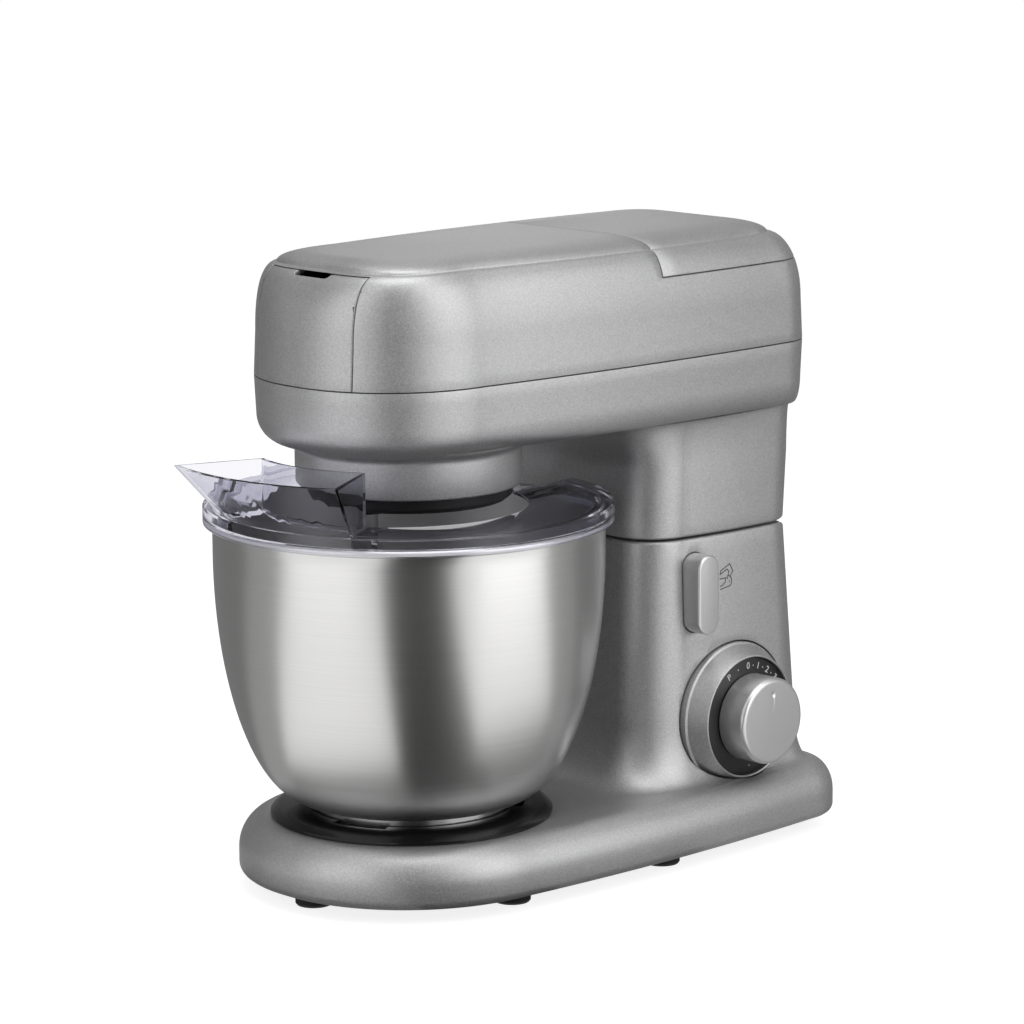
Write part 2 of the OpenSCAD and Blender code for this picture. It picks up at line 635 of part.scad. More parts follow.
board_t = 1.6;
board_z = frame_bottom_z - 2;
board_half_w = frame_x - 10;
board_front_y = motor_y - 22;
board_l = 52;
board_post_r = 3;
board_post_inset = 4;
relay = [18, 14, 12];
capacitor_r = 6;
capacitor_h = 18;
heat_sink = [44, 4, 22];
module control_board() place() color("darkgreen") {
    board_top = board_z + board_t;
    translate([-board_half_w, board_front_y, board_z]) cube([2 * board_half_w, board_l, board_t]);
    translate([-board_half_w + capacitor_r, board_front_y + capacitor_r, board_top]) cube(relay);
    translate([capacitor_r + 2, board_front_y + 2 * capacitor_r, board_top])
        cylinder(r = capacitor_r, h = capacitor_h);
    translate([-board_half_w + 8, board_front_y + 30, board_top]) cube(heat_sink);
    // Posts down to the bottom cover
    for (side = [-1, 1]) for (y = [board_post_inset, board_l - board_post_inset])
        translate([side * (board_half_w - board_post_inset), board_front_y + y, cover_z + cover_t + gap])
            cylinder(r = board_post_r, h = board_z - cover_z - cover_t - gap);
}

module cord_gland() place() color("black") translate([gland_x, base_rear_y, gland_z]) rotate([90, 0, 0])
    difference() {
        union() {
            translate([0, 0, 0.8]) cylinder(r = gland_flange_r, h = gland_depth - 0.8);
            translate([0, 0, 0.8]) cylinder(r = gland_r, h = 10);
        }
        translate([0, 0, -3]) cylinder(r = 3.2, h = 20);
    }

// ---------------------------------------------------------------- head shells

collar_wall = 3;
head_bosses = [[36, -52], [-36, -52], [47, 84], [-47, 84]];
head_boss_r = 3.6;
collar_fillet = 5;
module head_lower_shell() place() color("silver") difference() {
    union() {
        loft(concat(
            [ring(inset_all(upper_column(floor_bottom), lip), floor_bottom),
                ring(upper_column(floor_bottom + lip), floor_bottom + lip)],
            lower_head_rings(0), reversed(lower_head_rings(shell_wall, inner_arc_step)),
            [ring(inset_all(upper_column(floor_top), shell_wall), floor_top)]));
        rotate_extrude() polygon(concat([[collar_r - collar_wall, collar_bottom_z],
            [collar_r - 0.8, collar_bottom_z], [collar_r, collar_bottom_z + 0.8]],
            [for (t = [0:22.5:90]) [collar_r + collar_fillet * (1 - cos(t)),
                head_under_z - collar_fillet + collar_fillet * sin(t)]],
            [[collar_r + collar_fillet, head_under_z + 1], [collar_r - collar_wall, head_under_z + 1]]));
        // Posts that carry the arm frame
        for (p = head_bosses) translate([p[0], p[1], head_under_z + 1])
            cylinder(r = head_boss_r, h = arm_z - gap - head_under_z - 1);
    }
    for (p = head_bosses) translate([p[0], p[1], head_under_z + 2]) cylinder(r = pilot_r, h = 20);
    translate([0, 0, head_under_z - 2]) cylinder(r = collar_r - collar_wall, h = shell_wall + 4);
    // Windows in the floor of the column
    translate([-window_half_w, hinge_window[0] - 6, floor_bottom - 1])
        cube([2 * window_half_w, hinge_window[1] - hinge_window[0] + 6, shell_wall + 3]);
    translate([catch_x - 10, latch_window[0], floor_bottom - 1])
        cube([24, latch_window[1] - latch_window[0], shell_wall + 3]);
}

module upper_skin() {
    inner = upper_head_rings(shell_wall, inner_arc_step);
    loft(concat(reversed(inner), upper_head_rings(0)));
}

cover_seam_z = crease_z - 1;
module nose_cover_space(g) {
    half_w = nose_cover_half_w - g;
    top = cover_seam_z - g;
    translate([-half_w, -nose_y - 10, head_seam_z + g - 0.2])
        cube([2 * half_w, nose_y + 10 + crease_outline[0] - g, top - head_seam_z + 0.2 - g]);
}
notch_half_w = 13;
notch_h = 3;
module finger_notch() {
    translate([-notch_half_w, crease_outline[0] - 8, cover_seam_z - notch_h])
        cube([2 * notch_half_w, 14, notch_h + 2]);
}
module rear_cover_space(g) {
    translate([-base_front_r, rear_cover_y + g, rear_cover_z + g]) cube([2 * base_front_r, base_rear_y, 60]);
}

// The shell closes under the rear cover with a deck round the high speed outlet
deck_plate_t = 2.4;
deck_hole_r = 15;
module head_upper_shell() place() color("silver") difference() {
    union() {
        difference() {
            upper_skin();
            nose_cover_space(0);
            rear_cover_space(0);
        }
        intersection() {
            loft(upper_head_rings(shell_wall / 2));
            translate([-base_front_r, rear_cover_y - 4, rear_cover_z - gap - deck_plate_t])
                cube([2 * base_front_r, base_rear_y, deck_plate_t]);
        }
    }
    translate([0, motor_y, rear_cover_z - 10]) cylinder(r = deck_hole_r, h = 20);
}

module front_cover() place() color("silver") difference() {
    intersection() {
        upper_skin();
        nose_cover_space(gap);
    }
    finger_notch();
}

module rear_cover() place() color("silver") intersection() {
    upper_skin();
    rear_cover_space(gap);
}

// ---------------------------------------------------------------- gear shapes

ring_teeth = 48;
planet_teeth = 16;
main_teeth = 60;
pinion_teeth = 15;
pressure = 20;
function involute(a) = tan(a) - a * PI / 180;
// Points of a spur gear: addendum, dedendum and slack are in millimetres, slack thins each tooth
function gear_points(teeth, pitch_module, addendum, dedendum, slack) = let (
    pitch_r = pitch_module * teeth / 2,
    base_r = pitch_r * cos(pressure),
    root_r = pitch_r - dedendum,
    tip_r = pitch_r + addendum,
    start_r = max(base_r, root_r),
    half_pitch = 90 / teeth - slack / 2 / pitch_r * 180 / PI,
    flank = [for (i = [0:3]) let (r = start_r + (tip_r - start_r) * i / 3)
        [r, half_pitch + (involute(pressure) - involute(acos(base_r / r))) * 180 / PI]],
    foot = [root_r, flank[0][1]],
    side = root_r < start_r ? concat([foot], flank) : flank)
    [for (k = [0:teeth - 1]) for (s = [-1, 1]) for (i = [0:len(side) - 1])
        let (p = side[s < 0 ? i : len(side) - 1 - i], a = 360 * k / teeth + s * p[1])
        [p[0] * cos(a), p[0] * sin(a)]];

// ---------------------------------------------------------------- frame in the head

arm_z = 250;
arm_t = 4;
arm_top = arm_z + arm_t;
arm_half_w = 40;
arm_wide = 56;
arm_front_y = -62;
arm_wide_y = 76;
arm_rear_y = 226;
web_x = frame_x - 4;
web_t = 3;
stator_r = 40;
stator_flat = 35;
pinion_y = main_module * (main_teeth + pinion_teeth) / 2;
main_bearing_r = 14;
pinion_bearing_r = 9;
main_shaft_r = 6;
pinion_shaft_r = 4;

module arm_frame() place() color("lightsteelblue") difference() {
    union() {
        translate([0, 0, arm_z]) linear_extrude(arm_t) polygon([[-arm_half_w, arm_front_y],
            [arm_half_w, arm_front_y], [arm_half_w, arm_wide_y - 16], [arm_wide, arm_wide_y],
            [arm_wide, arm_rear_y - 12], [arm_wide - 12, arm_rear_y], [12 - arm_wide, arm_rear_y],
            [-arm_wide, arm_rear_y - 12], [-arm_wide, arm_wide_y], [-arm_half_w, arm_wide_y - 16]]);
        translate([0, 0, arm_z - 4]) cylinder(r = main_bearing_r + 3, h = arm_t + 8);
        translate([0, pinion_y, arm_z - 3]) cylinder(r = pinion_bearing_r + 3, h = arm_t + 4);
        // Webs down to the hinge, with a knuckle on the pin
        for (side = [0, 1]) mirror([side, 0, 0]) {
            translate([web_x, 0, 0]) rotate([90, 0, 90]) linear_extrude(web_t)
                polygon([[150, arm_z + 1], [arm_rear_y, arm_z + 1], [hinge_y + ear_r, hinge_z + 22],
                    [hinge_y + ear_r, hinge_z], [hinge_y - ear_r, hinge_z], [hinge_y - 14, hinge_z + 22]]);
            translate([web_x - 3, hinge_y, hinge_z]) rotate([0, 90, 0])
                cylinder(r = ear_r, h = web_t + 3.6);
        }
    }
    translate([0, 0, arm_z - 10]) cylinder(r = main_bearing_r + run_gap / 2, h = 30);
    translate([0, pinion_y, arm_z - 10]) cylinder(r = pinion_bearing_r + run_gap / 2, h = 30);
    translate([0, motor_y, arm_z - 1]) cylinder(r = stator_r + 1, h = arm_t + 2);
    on_hinge() translate([0, 0, -frame_x]) cylinder(r = hinge_pin_r + run_gap, h = 2 * frame_x);
    for (p = head_bosses) translate([p[0], p[1], arm_z - 1]) cylinder(r = screw_r + gap, h = arm_t + 2);
}

module head_screws() place() color("gray") for (p = head_bosses)
    translate([p[0], p[1], arm_top + screw_head_h]) mirror([0, 0, 1]) screw();

module latch_catch() place() color("gray") difference() {
    flange_z = floor_top + gap;
    union() {
        translate([catch_x, button_y - catch_w / 2, finger_z - 8])
            cube([catch_t, catch_w, flange_z + 2.5 - finger_z + 8]);
        translate([8, button_y - catch_w / 2, flange_z]) cube([catch_x + catch_t - 8, catch_w, 2.5]);
    }
    translate([catch_x - 1, button_y - bar_w / 2 - 1, finger_z - bar_t / 2 - 1])
        cube([catch_t + 2, bar_w + 2, bar_t + 2]);
}

// ---------------------------------------------------------------- motor

stator_z = 210;
stator_h = 48;
rotor_r = 20;
air_gap = 0.6;
coil_in_r = 23;
coil_out_r = 34;
coil_angle = 96;
bottom_plate_z = 196;
top_plate_z = 268;
plate_t = 3;
leg_y = stator_r + 1.5;
leg_t = 4;
motor_bearing_r = 8;
motor_bearing_h = 6;
pulley_z = 275;
pulley_h = 10;
shaft_low_z = 181;
coupling_z = 308;
coupling_h = 20;

module at_motor() {
    translate([0, motor_y, 0]) children();
}
module coil_sector(r_in, r_out, angle, h) {
    for (side = [0, 180]) rotate(side - angle / 2) rotate_extrude(angle = angle)
        translate([r_in, 0]) square([r_out - r_in, h]);
}

module motor_stator() place() color("gray") at_motor() difference() {
    translate([0, 0, stator_z]) intersection() {
        cylinder(r = stator_r, h = stator_h);
        translate([-stator_flat, -stator_r, 0]) cube([2 * stator_flat, 2 * stator_r, stator_h]);
    }
    translate([0, 0, stator_z - 1]) cylinder(r = rotor_r + air_gap, h = stator_h + 2);
    translate([0, 0, stator_z - 1]) coil_sector(coil_in_r, coil_out_r, coil_angle, stator_h + 2);
}

module field_coils() place() color("darkorange") at_motor() translate([0, 0, stator_z - 6])
    coil_sector(coil_in_r + gap, coil_out_r - gap, coil_angle - 2, stator_h + 11);

module motor_plate(z, leg_from, leg_to) {
    difference() {
        union() {
            translate([-14, -leg_y - leg_t, z]) cube([28, 2 * (leg_y + leg_t), plate_t]);
            translate([0, 0, z - 2]) cylinder(r = motor_bearing_r + 3, h = plate_t + 3);
            for (side = [-1, 1]) translate([-7, side > 0 ? leg_y : -leg_y - leg_t, leg_from])
                cube([14, leg_t, leg_to - leg_from]);
        }
        translate([0, 0, z - 3]) cylinder(r = motor_bearing_r + run_gap / 2, h = plate_t + 6);
    }
}
module motor_top_bracket() place() color("lightgray") at_motor()
    motor_plate(top_plate_z, arm_top, top_plate_z + 1);
module motor_bottom_bracket() place() color("lightgray") at_motor()
    motor_plate(bottom_plate_z, bottom_plate_z, arm_z);

module bearing(r_out, r_in, h) {
    difference() {
        cylinder(r = r_out, h = h);
        translate([0, 0, -1]) cylinder(r = r_in + run_gap, h = h + 2);
        // Groove between the two races
        translate([0, 0, h - 0.6]) tube(r_out - 1.6, r_in + 1.8, 1);
    }
}
module motor_bearings() place() color("gray") at_motor() for (z = [bottom_plate_z - 2, top_plate_z - 2])
    translate([0, 0, z]) bearing(motor_bearing_r, motor_shaft_r, motor_bearing_h);

commutator_r = 9;
commutator_h = 8;
brush_w = 5;
module brush_holders() place() color("peru") at_motor() for (side = [0, 180]) rotate(side)
    translate([-brush_w / 2 - 1.5, commutator_r + 3, bottom_plate_z + plate_t]) difference() {
        cube([brush_w + 3, 16, brush_w + 3]);
        translate([1.5 - 0.1, -1, 1.5 - 0.1]) cube([brush_w + 0.2, 15, brush_w + 0.2]);
    }
module carbon_brushes() place() color([0.15, 0.15, 0.15]) at_motor() for (side = [0, 180]) rotate(side)
    translate([-brush_w / 2, commutator_r + 0.1, bottom_plate_z + plate_t + 1.5]) cube([brush_w, 12, brush_w]);

module motor_shaft() place() color("silver") at_motor() translate([0, 0, shaft_low_z])
    cylinder(r = motor_shaft_r, h = coupling_z + coupling_h - 6 - shaft_low_z);

module rotor_core() place() color("gray") at_motor() difference() {
    translate([0, 0, stator_z]) tube(rotor_r, motor_shaft_r, stator_h);
    ring_of(12) translate([rotor_r - 0.5, 0, stator_z - 1]) cylinder(r = 1.2, h = stator_h + 2);
}
module commutator() place() color("peru") at_motor() difference() {
    translate([0, 0, bottom_plate_z + plate_t + 1]) tube(commutator_r, motor_shaft_r, commutator_h);
    ring_of(12) translate([commutator_r - 0.6, -0.25, bottom_plate_z]) cube([2, 0.5, 20]);
}

fan_r = 32;
fan_z = 183;
fan_h = 10;
module cooling_fan() place() color("whitesmoke") at_motor() difference() {
    translate([0, 0, fan_z]) union() {
        translate([0, 0, fan_h - 1.6]) cylinder(r = fan_r, h = 1.6);
        cylinder(r = 7, h = fan_h);
        ring_of(9) translate([10, -0.8, 0]) rotate(20) cube([fan_r - 12.5, 1.6, fan_h - 1]);
    }
    translate([0, 0, fan_z - 1]) cylinder(r = motor_shaft_r, h = fan_h + 2);
}

// Ribbed pulley: the grooves run round, so the belt can stay still beside it
module ribbed_pulley(r, bore) {
    groove = 1;
    count = 3;
    pitch = (pulley_h - 3) / count;
    rotate_extrude() polygon(concat([[bore, 0], [r, 0]],
        [for (i = [0:count - 1]) each [[r, 1.5 + i * pitch], [r - groove, 1.5 + (i + 0.5) * pitch],
            [r, 1.5 + (i + 1) * pitch]]],
        [[r, pulley_h], [bore, pulley_h]]));
}
module motor_pulley() place() color("gray") at_motor() translate([0, 0, pulley_z])
    ribbed_pulley(small_pulley_r, motor_shaft_r);

module large_pulley() place() color("dimgray") translate([0, pinion_y, pulley_z]) difference() {
    ribbed_pulley(large_pulley_r, pinion_shaft_r);
    ring_of(6) translate([(large_pulley_r + 6) / 2, 0, -1]) cylinder(r = 7, h = pulley_h + 2);
}

belt_t = 1.8;
belt_gap = 0.15;
belt_arc_step = 5;
// Outline of an open belt round both pulleys, grown outwards from their rims
function belt_points(grow) = let (
    big = large_pulley_r + grow,
    small = small_pulley_r + grow,
    lean = asin((big - small) / (motor_y - pinion_y)),
    big_step = (180 + 2 * lean) / ceil((180 + 2 * lean) / belt_arc_step),
    small_step = (180 - 2 * lean) / ceil((180 - 2 * lean) / belt_arc_step))
    concat([for (a = [180 - lean:big_step:360 + lean + 0.01]) [big * cos(a), pinion_y + big * sin(a)]],
        [for (a = [lean:small_step:180 - lean + 0.01]) [small * cos(a), motor_y + small * sin(a)]]);
module drive_belt() place() color([0.12, 0.12, 0.12]) translate([0, 0, pulley_z + 1])
    linear_extrude(pulley_h - 2) difference() {
        polygon(belt_points(belt_gap + belt_t));
        polygon(belt_points(belt_gap));
    }

module blender_coupling() place() color("black") at_motor() translate([0, 0, coupling_z]) difference() {
    union() {
        cylinder(r = 7, h = coupling_h);
        translate([0, 0, coupling_h - 9]) cylinder(r = 9, h = 2.5);
        ring_of(6) translate([5, -1.5, coupling_h - 7.5]) cube([6, 3, 6.5]);
    }
    translate([0, 0, -1]) cylinder(r = motor_shaft_r, h = coupling_h - 5);
}

// ---------------------------------------------------------------- gear train

gear_slack = 0.12;
main_gear_z = 259;
main_gear_h = 8;
module main_gear() place() color("white") translate([0, 0, main_gear_z]) difference() {
    union() {
        linear_extrude(main_gear_h) polygon(gear_points(main_teeth, main_module,
            0.9 * main_module, 1.25 * main_module, gear_slack));
        cylinder(r = main_shaft_r + 5, h = main_gear_h + 3);
    }
    translate([0, 0, -1]) cylinder(r = main_shaft_r, h = main_gear_h + 5);
    ring_of(6) translate([22, 0, -1]) cylinder(r = 6, h = main_gear_h + 2);
}

pinion_z = main_gear_z - 1.5;
module pinion_shaft() place() color("gray") translate([0, pinion_y, 0]) {
    translate([0, 0, arm_z - 4]) cylinder(r = pinion_shaft_r, h = pulley_z + pulley_h + 1 - arm_z + 4);
    translate([0, 0, pinion_z]) rotate(18) linear_extrude(main_gear_h + 3)
        polygon(gear_points(pinion_teeth, main_module, 0.9 * main_module, 1.25 * main_module, gear_slack));
}
module pinion_bearing() place() color("gray") translate([0, pinion_y, arm_z - 3])
    bearing(pinion_bearing_r, pinion_shaft_r, 7);

module main_bearing() place() color("gray") translate([0, 0, arm_z - 4])
    bearing(main_bearing_r, main_shaft_r, 11);

bevel_r = 18;
bevel_teeth = 20;
bevel_face = 6;
bevel_module = 2 * bevel_r / bevel_teeth;
bevel_slack = 0.35;
// Straight bevel gear with its apex bevel_r above the large end
module bevel_gear() {
    small = 1 - bevel_face / bevel_r;
    linear_extrude(bevel_face, scale = small) polygon(gear_points(bevel_teeth, bevel_module,
        0.6 * bevel_module, 0.8 * bevel_module, bevel_slack));
}

module shaft_bevel_gear() place() color("white") translate([0, 0, outlet_z - bevel_r]) difference() {
    union() {
        bevel_gear();
        translate([0, 0, -4]) cylinder(r = main_shaft_r + 4, h = 4.1);
    }
    translate([0, 0, -5]) cylinder(r = main_shaft_r, h = 20);
}

journal_r = spindle_r + 0.5;
carrier_z = 209;
carrier_h = 6;
module main_shaft() place() color("silver") translate([0, 0, carrier_z + 2])
    cylinder(r = main_shaft_r, h = outlet_z - bevel_r + bevel_face - carrier_z - 2);

offset_r = planet_module * (ring_teeth - planet_teeth) / 2;
planet_z = 223;
planet_h = 10;
module planetary_head() place() color([0.1, 0.1, 0.11]) difference() {
    union() {
        translate([0, 0, carrier_z]) rotate_extrude() polygon([[0, 0], [planet_head_r - 3, 0],
            [planet_head_r, 2.5], [planet_head_r, carrier_h + 4], [planet_head_r - 2.5, carrier_h + 4],
            [planet_head_r - 2.5, carrier_h], [0, carrier_h]]);
        translate([0, 0, carrier_z]) cylinder(r = main_shaft_r + 6, h = planet_z - carrier_z - 1);
        translate([0, -offset_r, carrier_z]) cylinder(r = journal_r + 4.5, h = planet_z - carrier_z - 1);
        // Hub round the spindle under the disc
        translate([0, -offset_r, carrier_z - 4]) cylinder(r = journal_r + 5.5, h = 5);
    }
    translate([0, 0, carrier_z + 2]) cylinder(r = main_shaft_r, h = 30);
    translate([0, -offset_r, carrier_z - 10]) cylinder(r = journal_r + run_gap, h = 40);
}

ring_addendum = 0.8;
ring_dedendum = 1.15;
module ring_gear() place() color("whitesmoke") translate([0, 0, planet_z - 1]) difference() {
    union() {
        cylinder(r = collar_r - collar_wall - gap, h = planet_h + 2);
        // Posts up to the arm frame
        ring_of(4, 45) translate([collar_r - collar_wall - 6, 0, 0])
            cylinder(r = 3.5, h = arm_z - planet_z + 1 - gap);
    }
    translate([0, 0, -1]) linear_extrude(planet_h + 4)
        polygon(gear_points(ring_teeth, planet_module, ring_dedendum * planet_module,
            ring_addendum * planet_module, -gear_slack));
}

module planet_gear() place() color("white") translate([0, -offset_r, planet_z]) difference() {
    rotate(-90) linear_extrude(planet_h) polygon(gear_points(planet_teeth, planet_module,
        ring_addendum * planet_module, ring_dedendum * planet_module, gear_slack));
    translate([0, 0, -1]) cylinder(r = journal_r, h = planet_h + 2);
}

tool_end_h = 15;
journal_z = spindle_tip_z + 1 + tool_end_h;
cross_pin_z = journal_z + 3;
module tool_spindle() place() color("silver") translate([0, -offset_r, 0]) {
    translate([0, 0, spindle_tip_z + 1]) cylinder(r = spindle_r, h = tool_end_h);
    translate([0, 0, journal_z]) cylinder(r = journal_r, h = planet_z + planet_h - journal_z);
    translate([0, 0, spindle_tip_z]) cylinder(r1 = spindle_r - 1, r2 = spindle_r, h = 1);
    translate([-10, 0, cross_pin_z]) rotate([0, 90, 0]) cylinder(r = 1.75, h = 20);
}

outlet_r = 11;
outlet_plate_y = -47;
outlet_plate_t = 5;
socket_front_y = -68;
drive_hole_r = 5;
module outlet_bracket() place() color("lightsteelblue") difference() {
    union() {
        translate([0, outlet_plate_y, 0]) rotate([90, 0, 0]) linear_extrude(outlet_plate_t) {
            translate([0, outlet_z]) circle(r = outlet_r + 7);
            translate([-outlet_r - 7, arm_top]) square([2 * outlet_r + 14, outlet_z - arm_top]);
        }
        translate([-28, outlet_plate_y - outlet_plate_t - 8, arm_top]) cube([56, outlet_plate_t + 8, 4]);
    }
    translate([0, 0, outlet_z]) rotate([90, 0, 0]) cylinder(r = outlet_r + run_gap, h = 80);
    for (side = [-1, 1]) translate([side * 23, outlet_plate_y - outlet_plate_t - 4, arm_top - 1])
        cylinder(r = screw_r + gap, h = 6);
}

module outlet_socket() place() color("dimgray") translate([0, 0, outlet_z]) rotate([90, 0, 0]) difference() {
    union() {
        translate([0, 0, bevel_r]) mirror([0, 0, 1]) rotate(180 / bevel_teeth) bevel_gear();
        translate([0, 0, bevel_r]) cylinder(r = outlet_r, h = -socket_front_y - bevel_r);
    }
    translate([0, 0, -socket_front_y - 20]) cylinder(r = drive_hole_r, h = 30);
    // Drive notches round the mouth
    ring_of(4) translate([drive_hole_r + 2, -1.5, -socket_front_y - 6]) cube([outlet_r, 3, 10]);
}

// ---------------------------------------------------------------- bowl and guard

bowl_curve_h = 133;
rim_bead_r = 2;
rim_curl_z = bowl_rim_z - rim_bead_r;
function bowl_curve(r, floor_r, low) = [for (t = [0:10:90])
    [floor_r + (r - floor_r) * sin(t), low + bowl_curve_h * (1 - cos(t))]];
module mixing_bowl() place() color("lightgray") rotate_extrude() {
    polygon(concat([[0, bowl_floor_z]], bowl_curve(bowl_r, bowl_floor_r, bowl_floor_z),
        [[bowl_r, rim_curl_z], [bowl_r - bowl_sheet, rim_curl_z]],
        reversed(bowl_curve(bowl_r - bowl_sheet, bowl_floor_r - bowl_sheet, bowl_floor_z + bowl_sheet)),
        [[0, bowl_floor_z + bowl_sheet]]));
    translate([bowl_r + rim_bead_r - bowl_sheet, rim_curl_z]) circle(r = rim_bead_r);
}

module bowl_foot() place() color("gray") {
    low = seat_floor_z + seat_floor_t + gap;
    translate([0, 0, low]) tube(foot_ring_r, foot_ring_r - 1.5, bowl_floor_z - low);
    ring_of(lug_count, lug_start) translate([0, 0, lug_z]) sector(foot_ring_r - 0.7, lug_r, lug_angle, lug_t);
}

skirt_t = 1.8;
skirt_low = rim_curl_z - 1;
guard_low = bowl_rim_z + gap;
inner_rib_r = bowl_r - bowl_sheet - 2;
chute_base_r = guard_r - 4;
chute_feed_r = inner_rib_r + 0.6;
hopper_wall_angle = guard_wall / guard_r * 180 / PI;
module splash_guard() place() color([0.75, 0.75, 0.85, 0.4]) rotate(guard_angle) difference() {
    plate_low = guard_top_z - guard_wall;
    union() {
        // Plate with an inner rib, the face that lies on the rim, and a skirt outside the rim
        rotate_extrude() polygon([[guard_hole_r - 20, plate_low], [inner_rib_r - guard_wall, plate_low],
            [inner_rib_r - guard_wall, guard_low - 5], [inner_rib_r, guard_low - 5], [inner_rib_r, plate_low],
            [guard_r - skirt_t - 4, plate_low], [guard_r - skirt_t - 4, guard_low],
            [guard_r - skirt_t, guard_low], [guard_r - skirt_t, skirt_low], [guard_r, skirt_low],
            [guard_r, guard_top_z - 1], [guard_r - 1, guard_top_z], [guard_hole_r - 20, guard_top_z]]);
        rotate(-90 - chute_half_angle) rotate_extrude(angle = 2 * chute_half_angle) polygon([
            [chute_inner_r, guard_top_z - 1], [chute_base_r, guard_top_z - 1],
            [chute_outer_r, chute_top_z], [chute_inner_r, chute_top_z]]);
    }
    translate([0, -10, guard_low - 10]) cylinder(r = guard_hole_r, h = 20);
    translate([0, 0, guard_low - 10]) cylinder(r = collar_r - 2, h = 20);
    translate([-guard_slot_half_w, 0, guard_low - 10]) cube([2 * guard_slot_half_w, guard_r + 5, 20]);
    // Inside of the chute and its feed opening
    rotate(-90 - chute_half_angle + hopper_wall_angle)
        rotate_extrude(angle = 2 * (chute_half_angle - hopper_wall_angle)) polygon([
            [chute_inner_r + guard_wall, guard_low - 8], [chute_feed_r, guard_low - 8],
            [chute_feed_r, guard_top_z - 1], [chute_outer_r - 1.4 * guard_wall, chute_top_z],
            [chute_outer_r - 1.4 * guard_wall, chute_top_z + 5], [chute_inner_r + guard_wall, chute_top_z + 5]]);
}

base_housing();
bottom_cover();
feet();
cover_screws();
bowl_seat();
seat_screws();
hinge_frame();
frame_screws();
hinge_pin();
dial_bezel();
dial_scale();
speed_switch();
control_board();
cord_gland();
speed_knob();
release_button();
latch_slide();
button_spring();
head_lower_shell();
head_upper_shell();
head_screws();
arm_frame();
latch_catch();
motor_stator();
field_coils();
motor_top_bracket();
motor_bottom_bracket();
motor_bearings();
brush_holders();
carbon_brushes();
motor_shaft();
rotor_core();
commutator();
cooling_fan();
motor_pulley();
blender_coupling();
drive_belt();
large_pulley();
pinion_shaft();
pinion_bearing();
main_gear();
main_shaft();
main_bearing();
shaft_bevel_gear();
planetary_head();
ring_gear();
planet_gear();
tool_spindle();
outlet_bracket();
outlet_socket();
front_cover();
rear_cover();
mixing_bowl();
bowl_foot();
splash_guard();
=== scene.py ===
import json
import math
import bmesh
import bpy
from mathutils import Matrix, Vector

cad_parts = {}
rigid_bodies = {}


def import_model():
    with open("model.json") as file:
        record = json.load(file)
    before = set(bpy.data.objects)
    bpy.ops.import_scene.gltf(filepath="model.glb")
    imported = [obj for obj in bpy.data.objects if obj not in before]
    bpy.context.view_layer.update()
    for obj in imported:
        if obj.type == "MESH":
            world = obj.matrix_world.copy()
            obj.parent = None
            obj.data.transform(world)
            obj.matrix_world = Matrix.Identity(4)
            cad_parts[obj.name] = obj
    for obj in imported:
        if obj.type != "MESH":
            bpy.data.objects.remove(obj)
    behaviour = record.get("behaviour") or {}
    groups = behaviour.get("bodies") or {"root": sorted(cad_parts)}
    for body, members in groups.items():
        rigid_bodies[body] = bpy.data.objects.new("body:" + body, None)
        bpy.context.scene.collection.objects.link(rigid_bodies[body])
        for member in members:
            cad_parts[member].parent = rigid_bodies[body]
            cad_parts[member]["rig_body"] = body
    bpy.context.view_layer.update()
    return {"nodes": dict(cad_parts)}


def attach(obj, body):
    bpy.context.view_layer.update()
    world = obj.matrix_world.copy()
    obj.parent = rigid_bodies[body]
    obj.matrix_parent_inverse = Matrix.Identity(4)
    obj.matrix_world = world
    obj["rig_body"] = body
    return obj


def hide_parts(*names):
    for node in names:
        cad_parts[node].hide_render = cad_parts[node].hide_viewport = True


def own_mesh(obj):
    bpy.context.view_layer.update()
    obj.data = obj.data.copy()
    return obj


bl_info = {
    "name": "Stand Mixer",
    "version": (1, 0, 0),
    "blender": (4, 5, 0),
    "location": "View3D > Sidebar > Mixer",
    "description": "Builds the visible pieces, finishes and studio of a tilt-head stand mixer",
    "category": "Object",
}

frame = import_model()

# Sizes below are in millimetres, measured from the bowl axis and the table, as in the CAD source
MM = 0.001
FRAME_Y = 62.5
FRONT_STEPS = 36
SIDE_STEPS = 10
REAR_STEPS = 18

# Points nearer than this, in metres, count as one
MERGE = 1e-6


def place(x, y, z):
    """A point given in millimetres, in the metres of the scene."""
    return Vector((x * MM, (y - FRAME_Y) * MM, z * MM))


# ---- outlines

# An outline is front, flat, front_w, front_end, rear_w, bow, rear, corner, front_power, rear_power;
# ring_of says what these do
BASE = (-92, 3, 92, 0, 91, 4.5, 256, 35, 2, 2.2)
BASE_BOTTOM = 7.5
BASE_TOP = 38
BASE_EDGE = 5
SHOULDER_Z = 20
SWEEP_R = 30
SWEEP_RISE = 34
SWEEP_LIFT = 0.3
TILT_SEAM = 174
TILT_GAP = 1.2
WALL = 3.2
LIP = 1
COLUMN = (121, 37, 61, 146, 64.5, 1.5, 237, 25, 2, 2)
COLUMN_LOW = 80
HEAD = (-80, 2, 71, -10, 76.5, 3.8, 242, 30, 2.2, 2)
HEAD_UNDER = 240
HEAD_ROUND = 16
HEAD_SWEEP_R = 26
HEAD_SEAM = 276.4
SEAM_GAP = 0.5
WALL_TOP = 300
CREASE_Z = 335
CREASE = (-59, 12, 56, -10, 58, 8, 228, 24, 3, 2.2)
CROWN = (-45, 8, 34, -8, 35, 2, 212, 16, 2.4, 2.2)
CROWN_TOP = 341
NOSE_COVER_HALF_W = 37
NOSE_COVER_TOP = 334
REAR_COVER_Y = 116
REAR_COVER_Z = 321
DIAL_Y = 181
DIAL_Z = 72
DIAL_HOLE_R = 40.8
BUTTON_Y = 153
BUTTON_Z = 143.5


